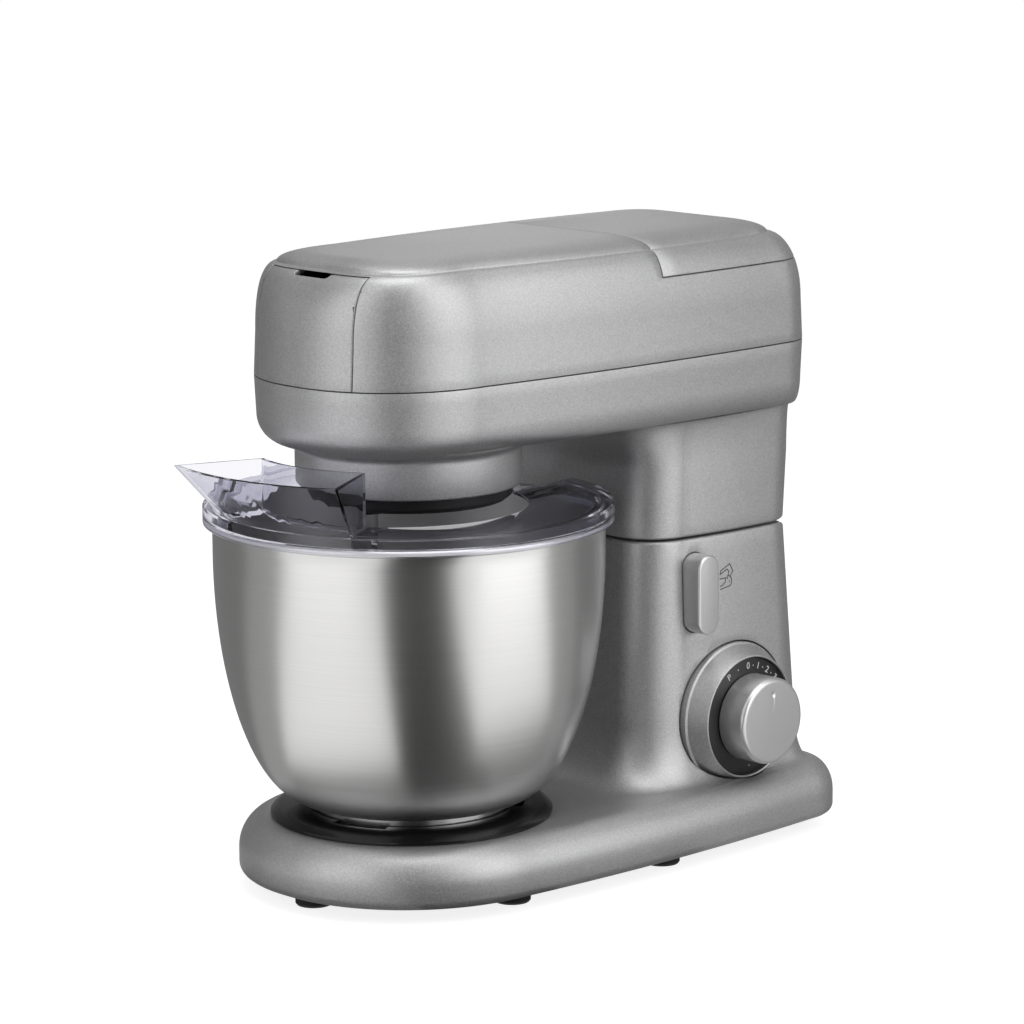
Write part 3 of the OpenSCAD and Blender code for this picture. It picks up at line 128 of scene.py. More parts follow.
def blended(a, b, t):
    """The outline that lies the share t of the way from a to b."""
    return tuple(p * (1 - t) + q * t for p, q in zip(a, b))


def moved_in(outline, front, front_side, rear_side, rear):
    """An outline with each side moved in by a distance of its own."""
    step = (front, 0, -front_side, 0, -rear_side, 0, -rear, -rear_side, 0, 0)
    return tuple(p + q for p, q in zip(outline, step))


def drafted(outline, step, amount):
    return tuple(p + q * amount for p, q in zip(outline, step))


def lower_column(z):
    return drafted(COLUMN, (-0.04, 0, 0.035, 0, 0.035, 0, 0.07, 0.02, 0, 0), TILT_SEAM - z)


def upper_column(z):
    return drafted(COLUMN, (0, 0, 0.02, 0, 0.02, 0, 0.045, 0, 0, 0), z - TILT_SEAM)


def head_at(z):
    inward = 0.045 * abs(z - HEAD_SEAM)
    return moved_in(HEAD, inward, inward, inward, inward)


def ring_of(outline, z, inward=0):
    """Points of a closed outline, moved inwards, from the front tip round the right side."""
    front, flat, front_w, front_end, rear_w, bow, rear, corner, front_power, rear_power = (
        moved_in(outline, inward, inward, inward, inward))
    half = []
    for i in range(FRONT_STEPS + 1):
        turn = math.radians(90 * i / FRONT_STEPS)
        half.append((flat + (front_w - flat) * math.sin(turn) ** (2 / front_power),
                     front_end - (front_end - front) * max(math.cos(turn), 0) ** (2 / front_power)))
    for i in range(1, SIDE_STEPS + 1):
        s = i / (SIDE_STEPS + 1)
        half.append((front_w + (rear_w - front_w) * s + 4 * bow * s * (1 - s),
                     front_end + (rear - corner - front_end) * s))
    for i in range(REAR_STEPS + 1):
        turn = math.radians(90 * i / REAR_STEPS)
        half.append((rear_w - corner + corner * max(math.cos(turn), 0) ** (2 / rear_power),
                     rear - corner + corner * math.sin(turn) ** (2 / rear_power)))
    points = half + [(-x, y) for x, y in reversed(half)]
    return [place(x, y, z) for x, y in points]


def turns(first, last, step):
    """Angles in radians, from the first to the last given in degrees."""
    count = round(abs(last - first) / step)
    return [math.radians(first + (last - first) * i / count) for i in range(count + 1)]


def levels(first, last, count):
    return [first + (last - first) * i / count for i in range(count + 1)]


def base_side(inward):
    """Rings from the shoulder of the base up to the top of the sweep, moved inwards."""
    plate = moved_in(BASE, 15, 15, 15, 12)
    foot = lower_column(BASE_TOP + SWEEP_RISE)
    sweep = (foot[0] - SWEEP_R, COLUMN[1], plate[2] - 0.5, foot[3], plate[4] - 1, 2.5,
             plate[6] - 0.5, plate[7], 2, 2.2)
    rings = []
    for turn in turns(0, 90, 7.5):
        z = SHOULDER_Z + (BASE_TOP - SHOULDER_Z - inward) * math.sin(turn)
        rings.append(ring_of(blended(BASE, plate, 1 - math.cos(turn)), z,
                                  inward * math.cos(turn)))
    for turn in turns(0, 90, 6):
        z = BASE_TOP + SWEEP_LIFT + SWEEP_RISE * (1 - math.cos(turn)) - inward * math.cos(turn)
        rings.append(ring_of(blended(foot, sweep, 1 - math.sin(turn)), z,
                                  inward * math.sin(turn)))
    return rings


def base_rings():
    """The wall of the base: down the inside from the deck, round the rim and back up outside."""
    deck = TILT_SEAM - TILT_GAP / 2
    rings = [ring_of(lower_column(z), z, WALL) for z in levels(deck - WALL, COLUMN_LOW, 6)]
    rings += base_side(WALL)[::-1]
    rings.append(ring_of(BASE, BASE_BOTTOM + BASE_EDGE, WALL))
    rings.append(ring_of(BASE, BASE_BOTTOM, BASE_EDGE + WALL))
    rings += [ring_of(BASE, BASE_BOTTOM + BASE_EDGE * (1 - math.cos(turn)),
                           BASE_EDGE * (1 - math.sin(turn))) for turn in turns(0, 90, 15)]
    rings += base_side(0)
    rings += [ring_of(lower_column(z), z) for z in levels(COLUMN_LOW, deck - LIP, 10)]
    rings.append(ring_of(lower_column(deck), deck, LIP))
    return rings


def lower_head_side(inward):
    """Rings from the top of the column out under the head and up to the seam, moved inwards."""
    widest = head_at(HEAD_UNDER + HEAD_ROUND)
    under = moved_in(widest, 15, 15, 9.2, 1.5)
    column = upper_column(HEAD_UNDER - HEAD_SWEEP_R)
    sweep = (COLUMN[0] - HEAD_SWEEP_R, COLUMN[1], under[4] + 1.2, column[3], under[4] + 0.1, 1.2,
             under[6] - 0.1, COLUMN[7], 2, 2)
    rings = []
    for turn in turns(90, 0, 6):
        z = HEAD_UNDER - SWEEP_LIFT - HEAD_SWEEP_R * (1 - math.cos(turn)) + inward * math.cos(turn)
        rings.append(ring_of(blended(column, sweep, 1 - math.sin(turn)), z,
                                  inward * math.sin(turn)))
    for turn in turns(0, 90, 6):
        z = HEAD_UNDER + HEAD_ROUND * (1 - math.cos(turn)) + inward * math.cos(turn)
        rings.append(ring_of(blended(under, widest, math.sin(turn)), z,
                                  inward * math.sin(turn)))
    low = HEAD_UNDER + HEAD_ROUND + inward
    for i in range(1, 4):
        z = low + (HEAD_SEAM - SEAM_GAP / 2 - low) * i / 3
        rings.append(ring_of(blended(widest, HEAD, i / 3), z, inward))
    return rings


def lower_head_rings():
    """The wall of the lower head: up the outside from the deck to the seam, and down the inside."""
    floor = TILT_SEAM + TILT_GAP / 2
    top = HEAD_UNDER - HEAD_SWEEP_R - 2
    rings = [ring_of(upper_column(floor), floor, LIP)]
    rings += [ring_of(upper_column(z), z) for z in levels(floor + LIP, top, 6)]
    rings += lower_head_side(0) + lower_head_side(WALL)[::-1]
    rings += [ring_of(upper_column(z), z, WALL) for z in levels(top, floor + WALL, 4)]
    return rings


def upper_head_side(inward):
    """Rings from the seam up the head, over its edge and the crease to the crown, moved inwards."""
    rings = [ring_of(head_at(z), z, inward)
             for z in levels(HEAD_SEAM + SEAM_GAP / 2, WALL_TOP, 4)[:-1]]
    for turn in turns(0, 90, 5):
        z = WALL_TOP + (CREASE_Z - WALL_TOP - inward) * math.sin(turn)
        rings.append(ring_of(blended(head_at(WALL_TOP), CREASE, 1 - math.cos(turn)), z,
                                  inward * math.cos(turn)))
    for turn in turns(7.5, 90, 7.5):
        rings.append(ring_of(blended(CREASE, CROWN, 1 - math.cos(turn)),
                                  CREASE_Z + (CROWN_TOP - CREASE_Z) * math.sin(turn) - inward))
    return rings


def upper_head_rings():
    """The wall of the upper head: down the inside from the crown, and back up the outside."""
    return upper_head_side(WALL)[::-1] + upper_head_side(0)


# ---- mesh helpers

def sealed(bm):
    """Merges the points that meet and turns every face outwards."""
    bmesh.ops.remove_doubles(bm, verts=bm.verts, dist=MERGE)
    bmesh.ops.recalc_face_normals(bm, faces=bm.faces)
    return bm


def lofted(rings):
    """A closed skin through rings of points, made by extruding a loop from ring to ring."""
    bm = bmesh.new()
    loop = bmesh.ops.create_circle(bm, segments=len(rings[0]), radius=1)["verts"]
    for vert, point in zip(loop, rings[0]):
        vert.co = point
    edges = list(bm.edges)
    bmesh.ops.contextual_create(bm, geom=edges)
    for ring in rings[1:]:
        made = bmesh.ops.extrude_edge_only(bm, edges=edges)["geom"]
        fresh = {g for g in made if isinstance(g, bmesh.types.BMVert)}
        loop = [next(e.other_vert(vert) for e in vert.link_edges if e.other_vert(vert) in fresh)
                for vert in loop]
        for vert, point in zip(loop, ring):
            vert.co = point
        edges = [g for g in made if isinstance(g, bmesh.types.BMEdge)
                 and g.verts[0] in fresh and g.verts[1] in fresh]
    bmesh.ops.contextual_create(bm, geom=edges)
    return sealed(bm)


def spun(profile, middle=None, steps=128):
    """A shape turned about the bowl's axis, or along X about middle, a (y, z) point.
    The profile is a list of (radius, distance along the axis)."""
    if middle:
        points = [place(x, middle[0] + r, middle[1]) for r, x in profile]
        centre, direction = place(0, *middle), (1, 0, 0)
    else:
        points = [place(r, 0, z) for r, z in profile]
        centre, direction = place(0, 0, 0), (0, 0, 1)
    bm = bmesh.new()
    verts = [bm.verts.new(p) for p in points]
    edges = [bm.edges.new(pair) for pair in zip(verts, verts[1:])]
    if profile[0][0] > 0 or profile[-1][0] > 0:
        edges.append(bm.edges.new((verts[-1], verts[0])))
    bmesh.ops.spin(bm, geom=verts + edges, cent=centre, axis=direction, angle=2 * math.pi,
                   steps=steps, use_merge=True)
    return sealed(bm)


def add_box(bm, low, high):
    a, b = place(*low), place(*high)
    size = b - a
    matrix = Matrix.Translation((a + b) / 2) @ Matrix.Diagonal((size.x, size.y, size.z, 1))
    bmesh.ops.create_cube(bm, size=1, matrix=matrix)


def block(low, high):
    bm = bmesh.new()
    add_box(bm, low, high)
    return bm


def add_drum(bm, centre, axis, radius, length, segments=96):
    turn = {"X": Matrix.Rotation(math.pi / 2, 4, "Y"), "Y": Matrix.Rotation(math.pi / 2, 4, "X"),
            "Z": Matrix.Identity(4)}[axis]
    bmesh.ops.create_cone(bm, cap_ends=True, segments=segments, radius1=radius * MM,
                          radius2=radius * MM, depth=length * MM,
                          matrix=Matrix.Translation(place(*centre)) @ turn)


def drum(*shape):
    """A closed cylinder on its own. shape is what add_drum takes."""
    bm = bmesh.new()
    add_drum(bm, *shape)
    return bm


def drawn_out(bm, length):
    """Makes the only face of bm the end of a closed block along X."""
    out = bmesh.ops.extrude_face_region(bm, geom=list(bm.faces))["geom"]
    bmesh.ops.translate(bm, verts=[g for g in out if isinstance(g, bmesh.types.BMVert)],
                        vec=(length * MM, 0, 0))
    bmesh.ops.recalc_face_normals(bm, faces=bm.faces)
    return bm


def prism(points, from_x, to_x):
    """A closed block along X whose end is the polygon of (y, z) points."""
    bm = bmesh.new()
    verts = [bm.verts.new(place(from_x, y, z)) for y, z in points]
    bmesh.ops.contextual_create(bm, geom=verts)
    return drawn_out(bm, to_x - from_x)


def pill(width, height, y, z, from_x, to_x, segments=64):
    """A closed stadium-shaped block that points along X."""
    bm = bmesh.new()
    turn = Matrix.Translation(place(from_x, y, z)) @ Matrix.Rotation(math.pi / 2, 4, "Y")
    made = bmesh.ops.create_circle(bm, cap_ends=True, segments=segments, radius=width / 2 * MM,
                                   matrix=turn)
    middle = z * MM
    stretch = (height - width) / 2 * MM
    upper = [v for v in made["verts"] if v.co.z > middle + MERGE]
    lower = [v for v in made["verts"] if v.co.z < middle - MERGE]
    bmesh.ops.translate(bm, verts=upper, vec=(0, 0, stretch))
    bmesh.ops.translate(bm, verts=lower, vec=(0, 0, -stretch))
    return drawn_out(bm, to_x - from_x)


def round_edges(bm, edges, radius):
    bmesh.ops.bevel(bm, geom=edges, offset=radius, offset_type="OFFSET", segments=5, profile=0.5,
                    affect="EDGES", material=-1)


def set_smooth(bm, angle):
    """Shades the faces smooth, but for the edges that bend by more than the angle in degrees."""
    limit = math.radians(angle)
    for face in bm.faces:
        face.smooth = True
    for edge in bm.edges:
        edge.smooth = len(edge.link_faces) == 2 and edge.calc_face_angle(0) < limit


SMOOTH_ANGLE = 32
COPY_ANGLE = 30
BOWL_ANGLE = 50


def add_object(name, data):
    obj = bpy.data.objects.new(name, data)
    bpy.context.scene.collection.objects.link(obj)
    return obj


def to_object(name, bm, angle=SMOOTH_ANGLE):
    """Makes the bmesh an object of the scene, and frees it."""
    set_smooth(bm, angle)
    mesh = bpy.data.meshes.new(name)
    bm.to_mesh(mesh)
    bm.free()
    return add_object(name, mesh)


def opened(mesh):
    bm = bmesh.new()
    bm.from_mesh(mesh)
    return bm


def cleaned(mesh):
    """A mesh as a bmesh, without doubled points and faces of no size."""
    bm = opened(mesh)
    bmesh.ops.remove_doubles(bm, verts=bm.verts, dist=2 * MERGE)
    bmesh.ops.dissolve_degenerate(bm, edges=bm.edges, dist=MERGE)
    return bm


def evaluated_mesh(obj):
    bpy.context.view_layer.update()
    whole = obj.evaluated_get(bpy.context.evaluated_depsgraph_get())
    return bpy.data.meshes.new_from_object(whole)


def finished(piece):
    """Applies a piece's modifiers, closes the slits that a cut can leave and sets the shading."""
    mesh = evaluated_mesh(piece)
    bm = cleaned(mesh)
    bmesh.ops.delete(bm, geom=[e for e in bm.edges if not e.link_faces], context="EDGES")
    bmesh.ops.delete(bm, geom=[v for v in bm.verts if not v.link_edges], context="VERTS")
    bmesh.ops.holes_fill(bm, edges=[e for e in bm.edges if e.is_boundary], sides=0)
    set_smooth(bm, SMOOTH_ANGLE)
    bm.to_mesh(mesh)
    bm.free()
    old = piece.data
    piece.modifiers.clear()
    piece.data = mesh
    bpy.data.meshes.remove(old)
    mesh.name = piece.name


def carve(piece, cutters, operation="DIFFERENCE"):
    """Cuts each closed shape out of the piece, or joins it on."""
    tools = []
    for i, bm in enumerate(cutters):
        tool = to_object(f"{piece.name}_tool_{i}", bm)
        cut = piece.modifiers.new("Cut", "BOOLEAN")
        cut.operation = operation
        cut.solver = "EXACT"
        cut.object = tool
        tools.append(tool)
    finished(piece)
    if not piece.data.polygons:
        raise RuntimeError(f"cutting {piece.name} left nothing")
    for tool in tools:
        mesh = tool.data
        bpy.data.objects.remove(tool)
        bpy.data.meshes.remove(mesh)


def soften(piece, width, angle=40, segments=2):
    """Rounds the sharp edges of a piece."""
    edge = piece.modifiers.new("Edge", "BEVEL")
    edge.width = width
    edge.segments = segments
    edge.limit_method = "ANGLE"
    edge.angle_limit = math.radians(angle)
    edge.use_clamp_overlap = False
    finished(piece)


def stand_for(piece, node, finish, slot=None):
    """Puts a piece in the place of a CAD node, with the material of its finish; the slot given is
    not used.
    """
    slot = slot or finish
    source = frame["nodes"][node]
    piece.data.materials.clear()
    piece.data.materials.append(MATERIALS[finish])
    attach(piece, source["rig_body"])
    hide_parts(node)


def smooth_copy(node, finish):
    """A merged, smoothly shaded copy of a CAD node."""
    piece = to_object(node + "_visual", cleaned(frame["nodes"][node].data), COPY_ANGLE)
    stand_for(piece, node, finish)
    return piece


# ---- shader node groups

def add_node(tree, kind, inputs=None, **settings):
    """A new node with its settings. An input is a value, or the socket that it is linked to."""
    node = tree.nodes.new("ShaderNode" + kind)
    for name, value in settings.items():
        setattr(node, name, value)
    for name, value in (inputs or {}).items():
        if isinstance(value, bpy.types.NodeSocket):
            tree.links.new(value, node.inputs[name])
        else:
            node.inputs[name].default_value = value
    return node


def new_group(name, **inputs):
    """Starts a node group. Returns its tree, its own inputs and the object's coordinates."""
    tree = bpy.data.node_groups.new(name, "ShaderNodeTree")
    for label, value in inputs.items():
        socket = tree.interface.new_socket(label, in_out="INPUT", socket_type="NodeSocketFloat")
        socket.default_value = value
    for label in ("Mask", "Height"):
        tree.interface.new_socket(label, in_out="OUTPUT", socket_type="NodeSocketFloat")
    given = tree.nodes.new("NodeGroupInput").outputs
    return tree, given, add_node(tree, "TexCoord").outputs["Object"]


def ended_group(tree, mask, height):
    """Ends a node group with its mask and its relief height."""
    result = tree.nodes.new("NodeGroupOutput").inputs
    tree.links.new(mask, result["Mask"])
    tree.links.new(height, result["Height"])
    return tree


def metal_flake_group():
    """Tiny flakes in paint, each a little lighter or darker than the next."""
    tree, given, where = new_group("Metal Flake", Size=1800, Cloud=18)
    flake = add_node(tree, "TexVoronoi", {"Vector": where, "Scale": given["Size"]})
    tone = add_node(tree, "SeparateColor", {"Color": flake.outputs["Color"]}).outputs
    cloud = add_node(tree, "TexNoise", {
        "Vector": where, "Scale": given["Cloud"], "Detail": 2}).outputs["Fac"]
    blend = add_node(tree, "Mix", {"Factor": 0.22, "A": tone["Red"], "B": cloud},
                     data_type="FLOAT")
    return ended_group(tree, blend.outputs["Result"], tone["Green"])


def moulded_grain_group():
    """The fine even grain of moulded plastic and rubber."""
    tree, given, where = new_group("Moulded Grain", Size=900, Handling=14)
    grain = add_node(tree, "TexNoise", {
        "Vector": where, "Scale": given["Size"], "Detail": 3})
    marks = add_node(tree, "TexNoise", {
        "Vector": where, "Scale": given["Handling"], "Detail": 4, "Roughness": 0.65})
    return ended_group(tree, marks.outputs["Fac"], grain.outputs["Fac"])


def stretched_lines_group():
    """Fine lines that run level round a piece, as brushing or turning leaves them."""
    tree, given, where = new_group("Level Lines", Lines=2600, Length=7)
    parts = add_node(tree, "SeparateXYZ", {"Vector": where}).outputs
    speeds = {"X": given["Length"], "Y": given["Length"], "Z": given["Lines"]}
    times = {axis: add_node(tree, "Math", {0: parts[axis], 1: speed}, operation="MULTIPLY")
             for axis, speed in speeds.items()}
    joined = add_node(tree, "CombineXYZ",
                      {axis: node.outputs["Value"] for axis, node in times.items()})
    noise = add_node(tree, "TexNoise", {
        "Vector": joined.outputs["Vector"], "Scale": 1, "Detail": 3, "Roughness": 0.6}).outputs
    return ended_group(tree, noise["Fac"], noise["Fac"])


def stacked_layers_group():
    """Evenly stacked layers, such as laminations or turns of wire."""
    tree, given, where = new_group("Stacked Layers", Layers=320, Waver=0.4)
    wave = add_node(tree, "TexWave", {
        "Vector": where, "Scale": given["Layers"], "Distortion": given["Waver"], "Detail": 2},
        bands_direction="Z").outputs["Fac"]
    return ended_group(tree, wave, wave)


def circuit_tracks_group():
    """Copper tracks under the lacquer of a circuit board."""
    tree, given, where = new_group("Circuit Tracks", Density=260, Width=0.08)
    tracks = add_node(tree, "TexBrick", {
        "Vector": where, "Scale": given["Density"], "Mortar Size": given["Width"],
        "Color1": (0, 0, 0, 1), "Color2": (0.25, 0.25, 0.25, 1), "Mortar": (1, 1, 1, 1)}).outputs
    return ended_group(tree, tracks["Color"], tracks["Fac"])


GROUPS = {
    "flake": metal_flake_group(),
    "grain": moulded_grain_group(),
    "lines": stretched_lines_group(),
    "layers": stacked_layers_group(),
    "tracks": circuit_tracks_group(),
}


def detailed(name, color, roughness, metallic, group, settings, tint, spread, depth, plain=None,
             second=None):
    """A Principled material whose colour, roughness and relief follow one of the groups.
    tint is the share that the colour varies by, spread that of the roughness, and depth the relief
    in microns. settings are inputs of the group, plain those of the shader, and second is a colour
    to vary towards."""
    material = bpy.data.materials.new(name)
    material.use_nodes = True
    tree = material.node_tree
    shader = tree.nodes["Principled BSDF"]
    effect = add_node(tree, "Group", settings, node_tree=GROUPS[group]).outputs
    dark = tuple(c * (1 - tint) for c in color)
    light = second or tuple(min(c * (1 + tint), 1) for c in color)
    tone = add_node(tree, "Mix", {
        "Factor": effect["Mask"], "A": (*dark, 1), "B": (*light, 1)}, data_type="RGBA")
    gloss = add_node(tree, "MapRange", {
        "Value": effect["Mask"], "To Min": max(roughness * (1 - spread), 0.02),
        "To Max": min(roughness * (1 + spread), 1)})
    relief = add_node(tree, "Bump", {"Height": effect["Height"], "Distance": depth * 1e-6})
    for label, value in {"Metallic": metallic, **(plain or {})}.items():
        shader.inputs[label].default_value = value
    tree.links.new(tone.outputs["Result"], shader.inputs["Base Color"])
    tree.links.new(gloss.outputs["Result"], shader.inputs["Roughness"])
    tree.links.new(relief.outputs["Normal"], shader.inputs["Normal"])
    return material


def make_materials(finish):
    # What detailed takes, for each finish
    rows = {
        "silver_paint": ("Silver Flake Paint", tuple(finish.paint_color), 0.45, 0.8,
            "flake", {"Size": 2200}, 0.2, 0.12, 30),
        "silver_trim": ("Satin Silver Trim", tuple(finish.trim_color), 0.34, 0.75,
            "flake", {"Size": 3200, "Cloud": 30}, 0.05, 0.1, 6),
        "bowl_steel": ("Brushed Bowl Steel", tuple(finish.bowl_color), 0.33, 1,
            "lines", {"Lines": 3400, "Length": 9}, 0.11, 0.22, 6,
            {"Anisotropic": 0.72, "Anisotropic Rotation": 0.25}),
        "steel": ("Turned Steel", (0.56, 0.56, 0.57), 0.24, 1,
            "lines", {"Lines": 1800, "Length": 40}, 0.1, 0.25, 10),
        "zinc_steel": ("Zinc Plated Steel", (0.62, 0.63, 0.66), 0.34, 1,
            "grain", {"Size": 420, "Handling": 40}, 0.1, 0.25, 20),
        "cast_metal": ("Cast Alloy", (0.5, 0.5, 0.51), 0.55, 0.9,
            "grain", {"Size": 700, "Handling": 30}, 0.12, 0.18, 120),
        "laminated_steel": ("Laminated Core", (0.22, 0.22, 0.23), 0.45, 0.9,
            "layers", {"Layers": 320, "Waver": 0.1}, 0.4, 0.15, 100),
        "copper": ("Enamelled Winding", (0.42, 0.15, 0.05), 0.28, 0.85,
            "layers", {"Layers": 260, "Waver": 1.2}, 0.35, 0.2, 250),
        "black_gloss": ("Gloss Black Plastic", (0.008, 0.008, 0.009), 0.14, 0,
            "grain", {"Size": 500, "Handling": 22}, 0.2, 0.45, 4,
            {"Specular IOR Level": 0.28}),
        "black_plastic": ("Grained Black Plastic", (0.010, 0.010, 0.011), 0.45, 0,
            "grain", {"Size": 1100, "Handling": 20}, 0.2, 0.2, 40,
            {"Specular IOR Level": 0.2}),
        "gear_plastic": ("Gear Nylon", (0.74, 0.72, 0.66), 0.38, 0,
            "grain", {"Size": 600, "Handling": 25}, 0.05, 0.2, 20,
            {"Subsurface Weight": 0.15, "Subsurface Scale": 0.002}),
        "board": ("Circuit Board", (0.012, 0.1, 0.035), 0.35, 0,
            "tracks", {"Density": 240, "Width": 0.10}, 0.25, 0.2, 60, None,
            (0.05, 0.22, 0.08)),
        "rubber": ("Moulded Rubber", (0.018, 0.018, 0.019), 0.72, 0,
            "grain", {"Size": 900, "Handling": 26}, 0.25, 0.12, 60),
        "scale_black": ("Dial Scale Black", (0.010, 0.010, 0.012), 0.38, 0,
            "grain", {"Size": 1600, "Handling": 40}, 0.2, 0.2, 10),
        "pale_print": ("Pale Dial Print", (0.72, 0.72, 0.72), 0.5, 0,
            "grain", {"Size": 2500, "Handling": 300}, 0.08, 0.1, 4),
        "dark_print": ("Dark Panel Print", (0.05, 0.05, 0.053), 0.5, 0,
            "grain", {"Size": 2500, "Handling": 300}, 0.15, 0.1, 4),
        "clear_guard": ("Clear Smoked Guard", tuple(finish.guard_color), 0.03, 0,
            "grain", {"Size": 60, "Handling": 12}, 0.02, 0.5, 8,
            {"Transmission Weight": 1, "IOR": 1.09}),
    }
    made = {slot: detailed(*row) for slot, row in rows.items()}
    # The brushing of the bowl runs round its axis
    brushing = made["bowl_steel"].node_tree
    around = add_node(brushing, "Tangent", direction_type="RADIAL", axis="Z")
    brushing.links.new(around.outputs["Tangent"],
                       brushing.nodes["Principled BSDF"].inputs["Tangent"])
    # The clear plastic darkens to violet where it is seen edge on
    clear = made["clear_guard"].node_tree
    shader = clear.nodes["Principled BSDF"]
    face_on = shader.inputs["Base Color"].links[0].from_socket
    slant = add_node(clear, "LayerWeight", {"Blend": 0.22}).outputs["Facing"]
    edge = add_node(clear, "Mix", {
        "Factor": slant, "A": face_on, "B": (*finish.guard_edge_color, 1)}, data_type="RGBA")
    clear.links.new(edge.outputs["Result"], shader.inputs["Base Color"])
    return made


MATERIALS = {}


# ---- sizes and colours a user may change

class MixerSizes(bpy.types.PropertyGroup):
    seam_round: bpy.props.FloatProperty(
        name="Seam Rounding", description="Radius of the small rounding along every housing seam",
        default=0.0004, min=0.0001, max=0.001, unit="LENGTH", subtype="DISTANCE")
    guard_round: bpy.props.FloatProperty(
        name="Guard Rounding", description="Radius of the rounding on the edges of the clear guard",
        default=0.0006, min=0.0002, max=0.001, unit="LENGTH", subtype="DISTANCE")
    button_round: bpy.props.FloatProperty(
        name="Button Rounding", description="Radius of the rounding round the face of the button",
        default=0.0012, min=0.0004, max=0.002, unit="LENGTH", subtype="DISTANCE")
    number_height: bpy.props.FloatProperty(
        name="Number Height", description="Height of the numbers on the dial",
        default=0.0052, min=0.003, max=0.006, unit="LENGTH", subtype="DISTANCE")


class MixerFinish(bpy.types.PropertyGroup):
    paint_color: bpy.props.FloatVectorProperty(
        name="Paint", description="Colour of the silver housing paint", subtype="COLOR",
        default=(0.44, 0.44, 0.445), min=0, max=1)
    trim_color: bpy.props.FloatVectorProperty(
        name="Trim", description="Colour of the knob, bezel and button", subtype="COLOR",
        default=(0.64, 0.64, 0.64), min=0, max=1)
    bowl_color: bpy.props.FloatVectorProperty(
        name="Bowl", description="Colour of the brushed steel bowl", subtype="COLOR",
        default=(0.62, 0.617, 0.612), min=0, max=1)
    guard_color: bpy.props.FloatVectorProperty(
        name="Guard", description="Tint of the clear splash guard", subtype="COLOR",
        default=(0.885, 0.885, 0.91), min=0, max=1)
    guard_edge_color: bpy.props.FloatVectorProperty(
        name="Guard Edge", description="Tint of the splash guard where it is seen edge on",
        subtype="COLOR", default=(0.30, 0.29, 0.44), min=0, max=1)


# ---- pieces

class MIXER_OT_finishes(bpy.types.Operator):
    """Make every finish of the mixer"""
    bl_idname = "mixer.finishes"
    bl_label = "Finishes"

    def execute(self, context):
        MATERIALS.update(make_materials(context.scene.mixer_finish))
        return {"FINISHED"}


COLLAR_BORE = 57


def deck_windows(rear_from, low, high):
    """The openings in a deck of the column for the hinge frame and the latch."""
    windows = block((-50, rear_from, low), (50, 233.4, high))
    add_box(windows, (20, 138, low), (44, 165, high))
    return windows


class MIXER_OT_base(bpy.types.Operator):
    """Model the base with its column"""
    bl_idname = "mixer.base"
    bl_label = "Base and Column"

    def execute(self, context):
        piece = to_object("base_housing_visual", lofted(base_rings()))
        dial = spun([(0, 55), (DIAL_HOLE_R, 55), (DIAL_HOLE_R, 67.3), (34.6, 79.2), (34.6, 112),
                     (0, 112)], (DIAL_Y, DIAL_Z))
        round_holes = drum((0, 0, 38), "Z", 64, 12, 128)
        add_drum(round_holes, (-40, 260, 24), "Y", 9.3, 12.8, 48)
        inlet = drum((-40, 256, 24), "Y", 6.6, 40, 48)
        button = pill(16.9, 44.9, BUTTON_Y, BUTTON_Z, 48, 90)
        heel = prism([(223, 175), (223, 173.1), (232.46, 169.19), (300, 169.19), (300, 175)],
                     -120, 120)
        carve(piece, [dial, round_holes, inlet, deck_windows(215, 166, 178), button, heel])
        soften(piece, context.scene.mixer_sizes.seam_round)
        stand_for(piece, "base_housing", "silver_paint")
        return {"FINISHED"}


class MIXER_OT_head_lower(bpy.types.Operator):
    """Model the lower half of the head with its collar"""
    bl_idname = "mixer.head_lower"
    bl_label = "Lower Head"

    def execute(self, context):
        piece = to_object("head_lower_shell_visual", lofted(lower_head_rings()))
        collar = [(COLLAR_BORE, 217), (59.2, 217), (59.7, 217.2), (60, 217.8)]
        collar += [(60 + 5 * (1 - math.cos(t)), 235 + 5 * math.sin(t))
                   for t in turns(0, 85, 8.5)]
        collar += [(66, 241.5), (COLLAR_BORE, 241.5)]
        carve(piece, [spun(collar, steps=160)], "UNION")
        carve(piece, [drum((0, 0, 240), "Z", COLLAR_BORE, 12, 160), deck_windows(209, 172, 181)])
        soften(piece, context.scene.mixer_sizes.seam_round)
        stand_for(piece, "head_lower_shell", "silver_paint")
        return {"FINISHED"}


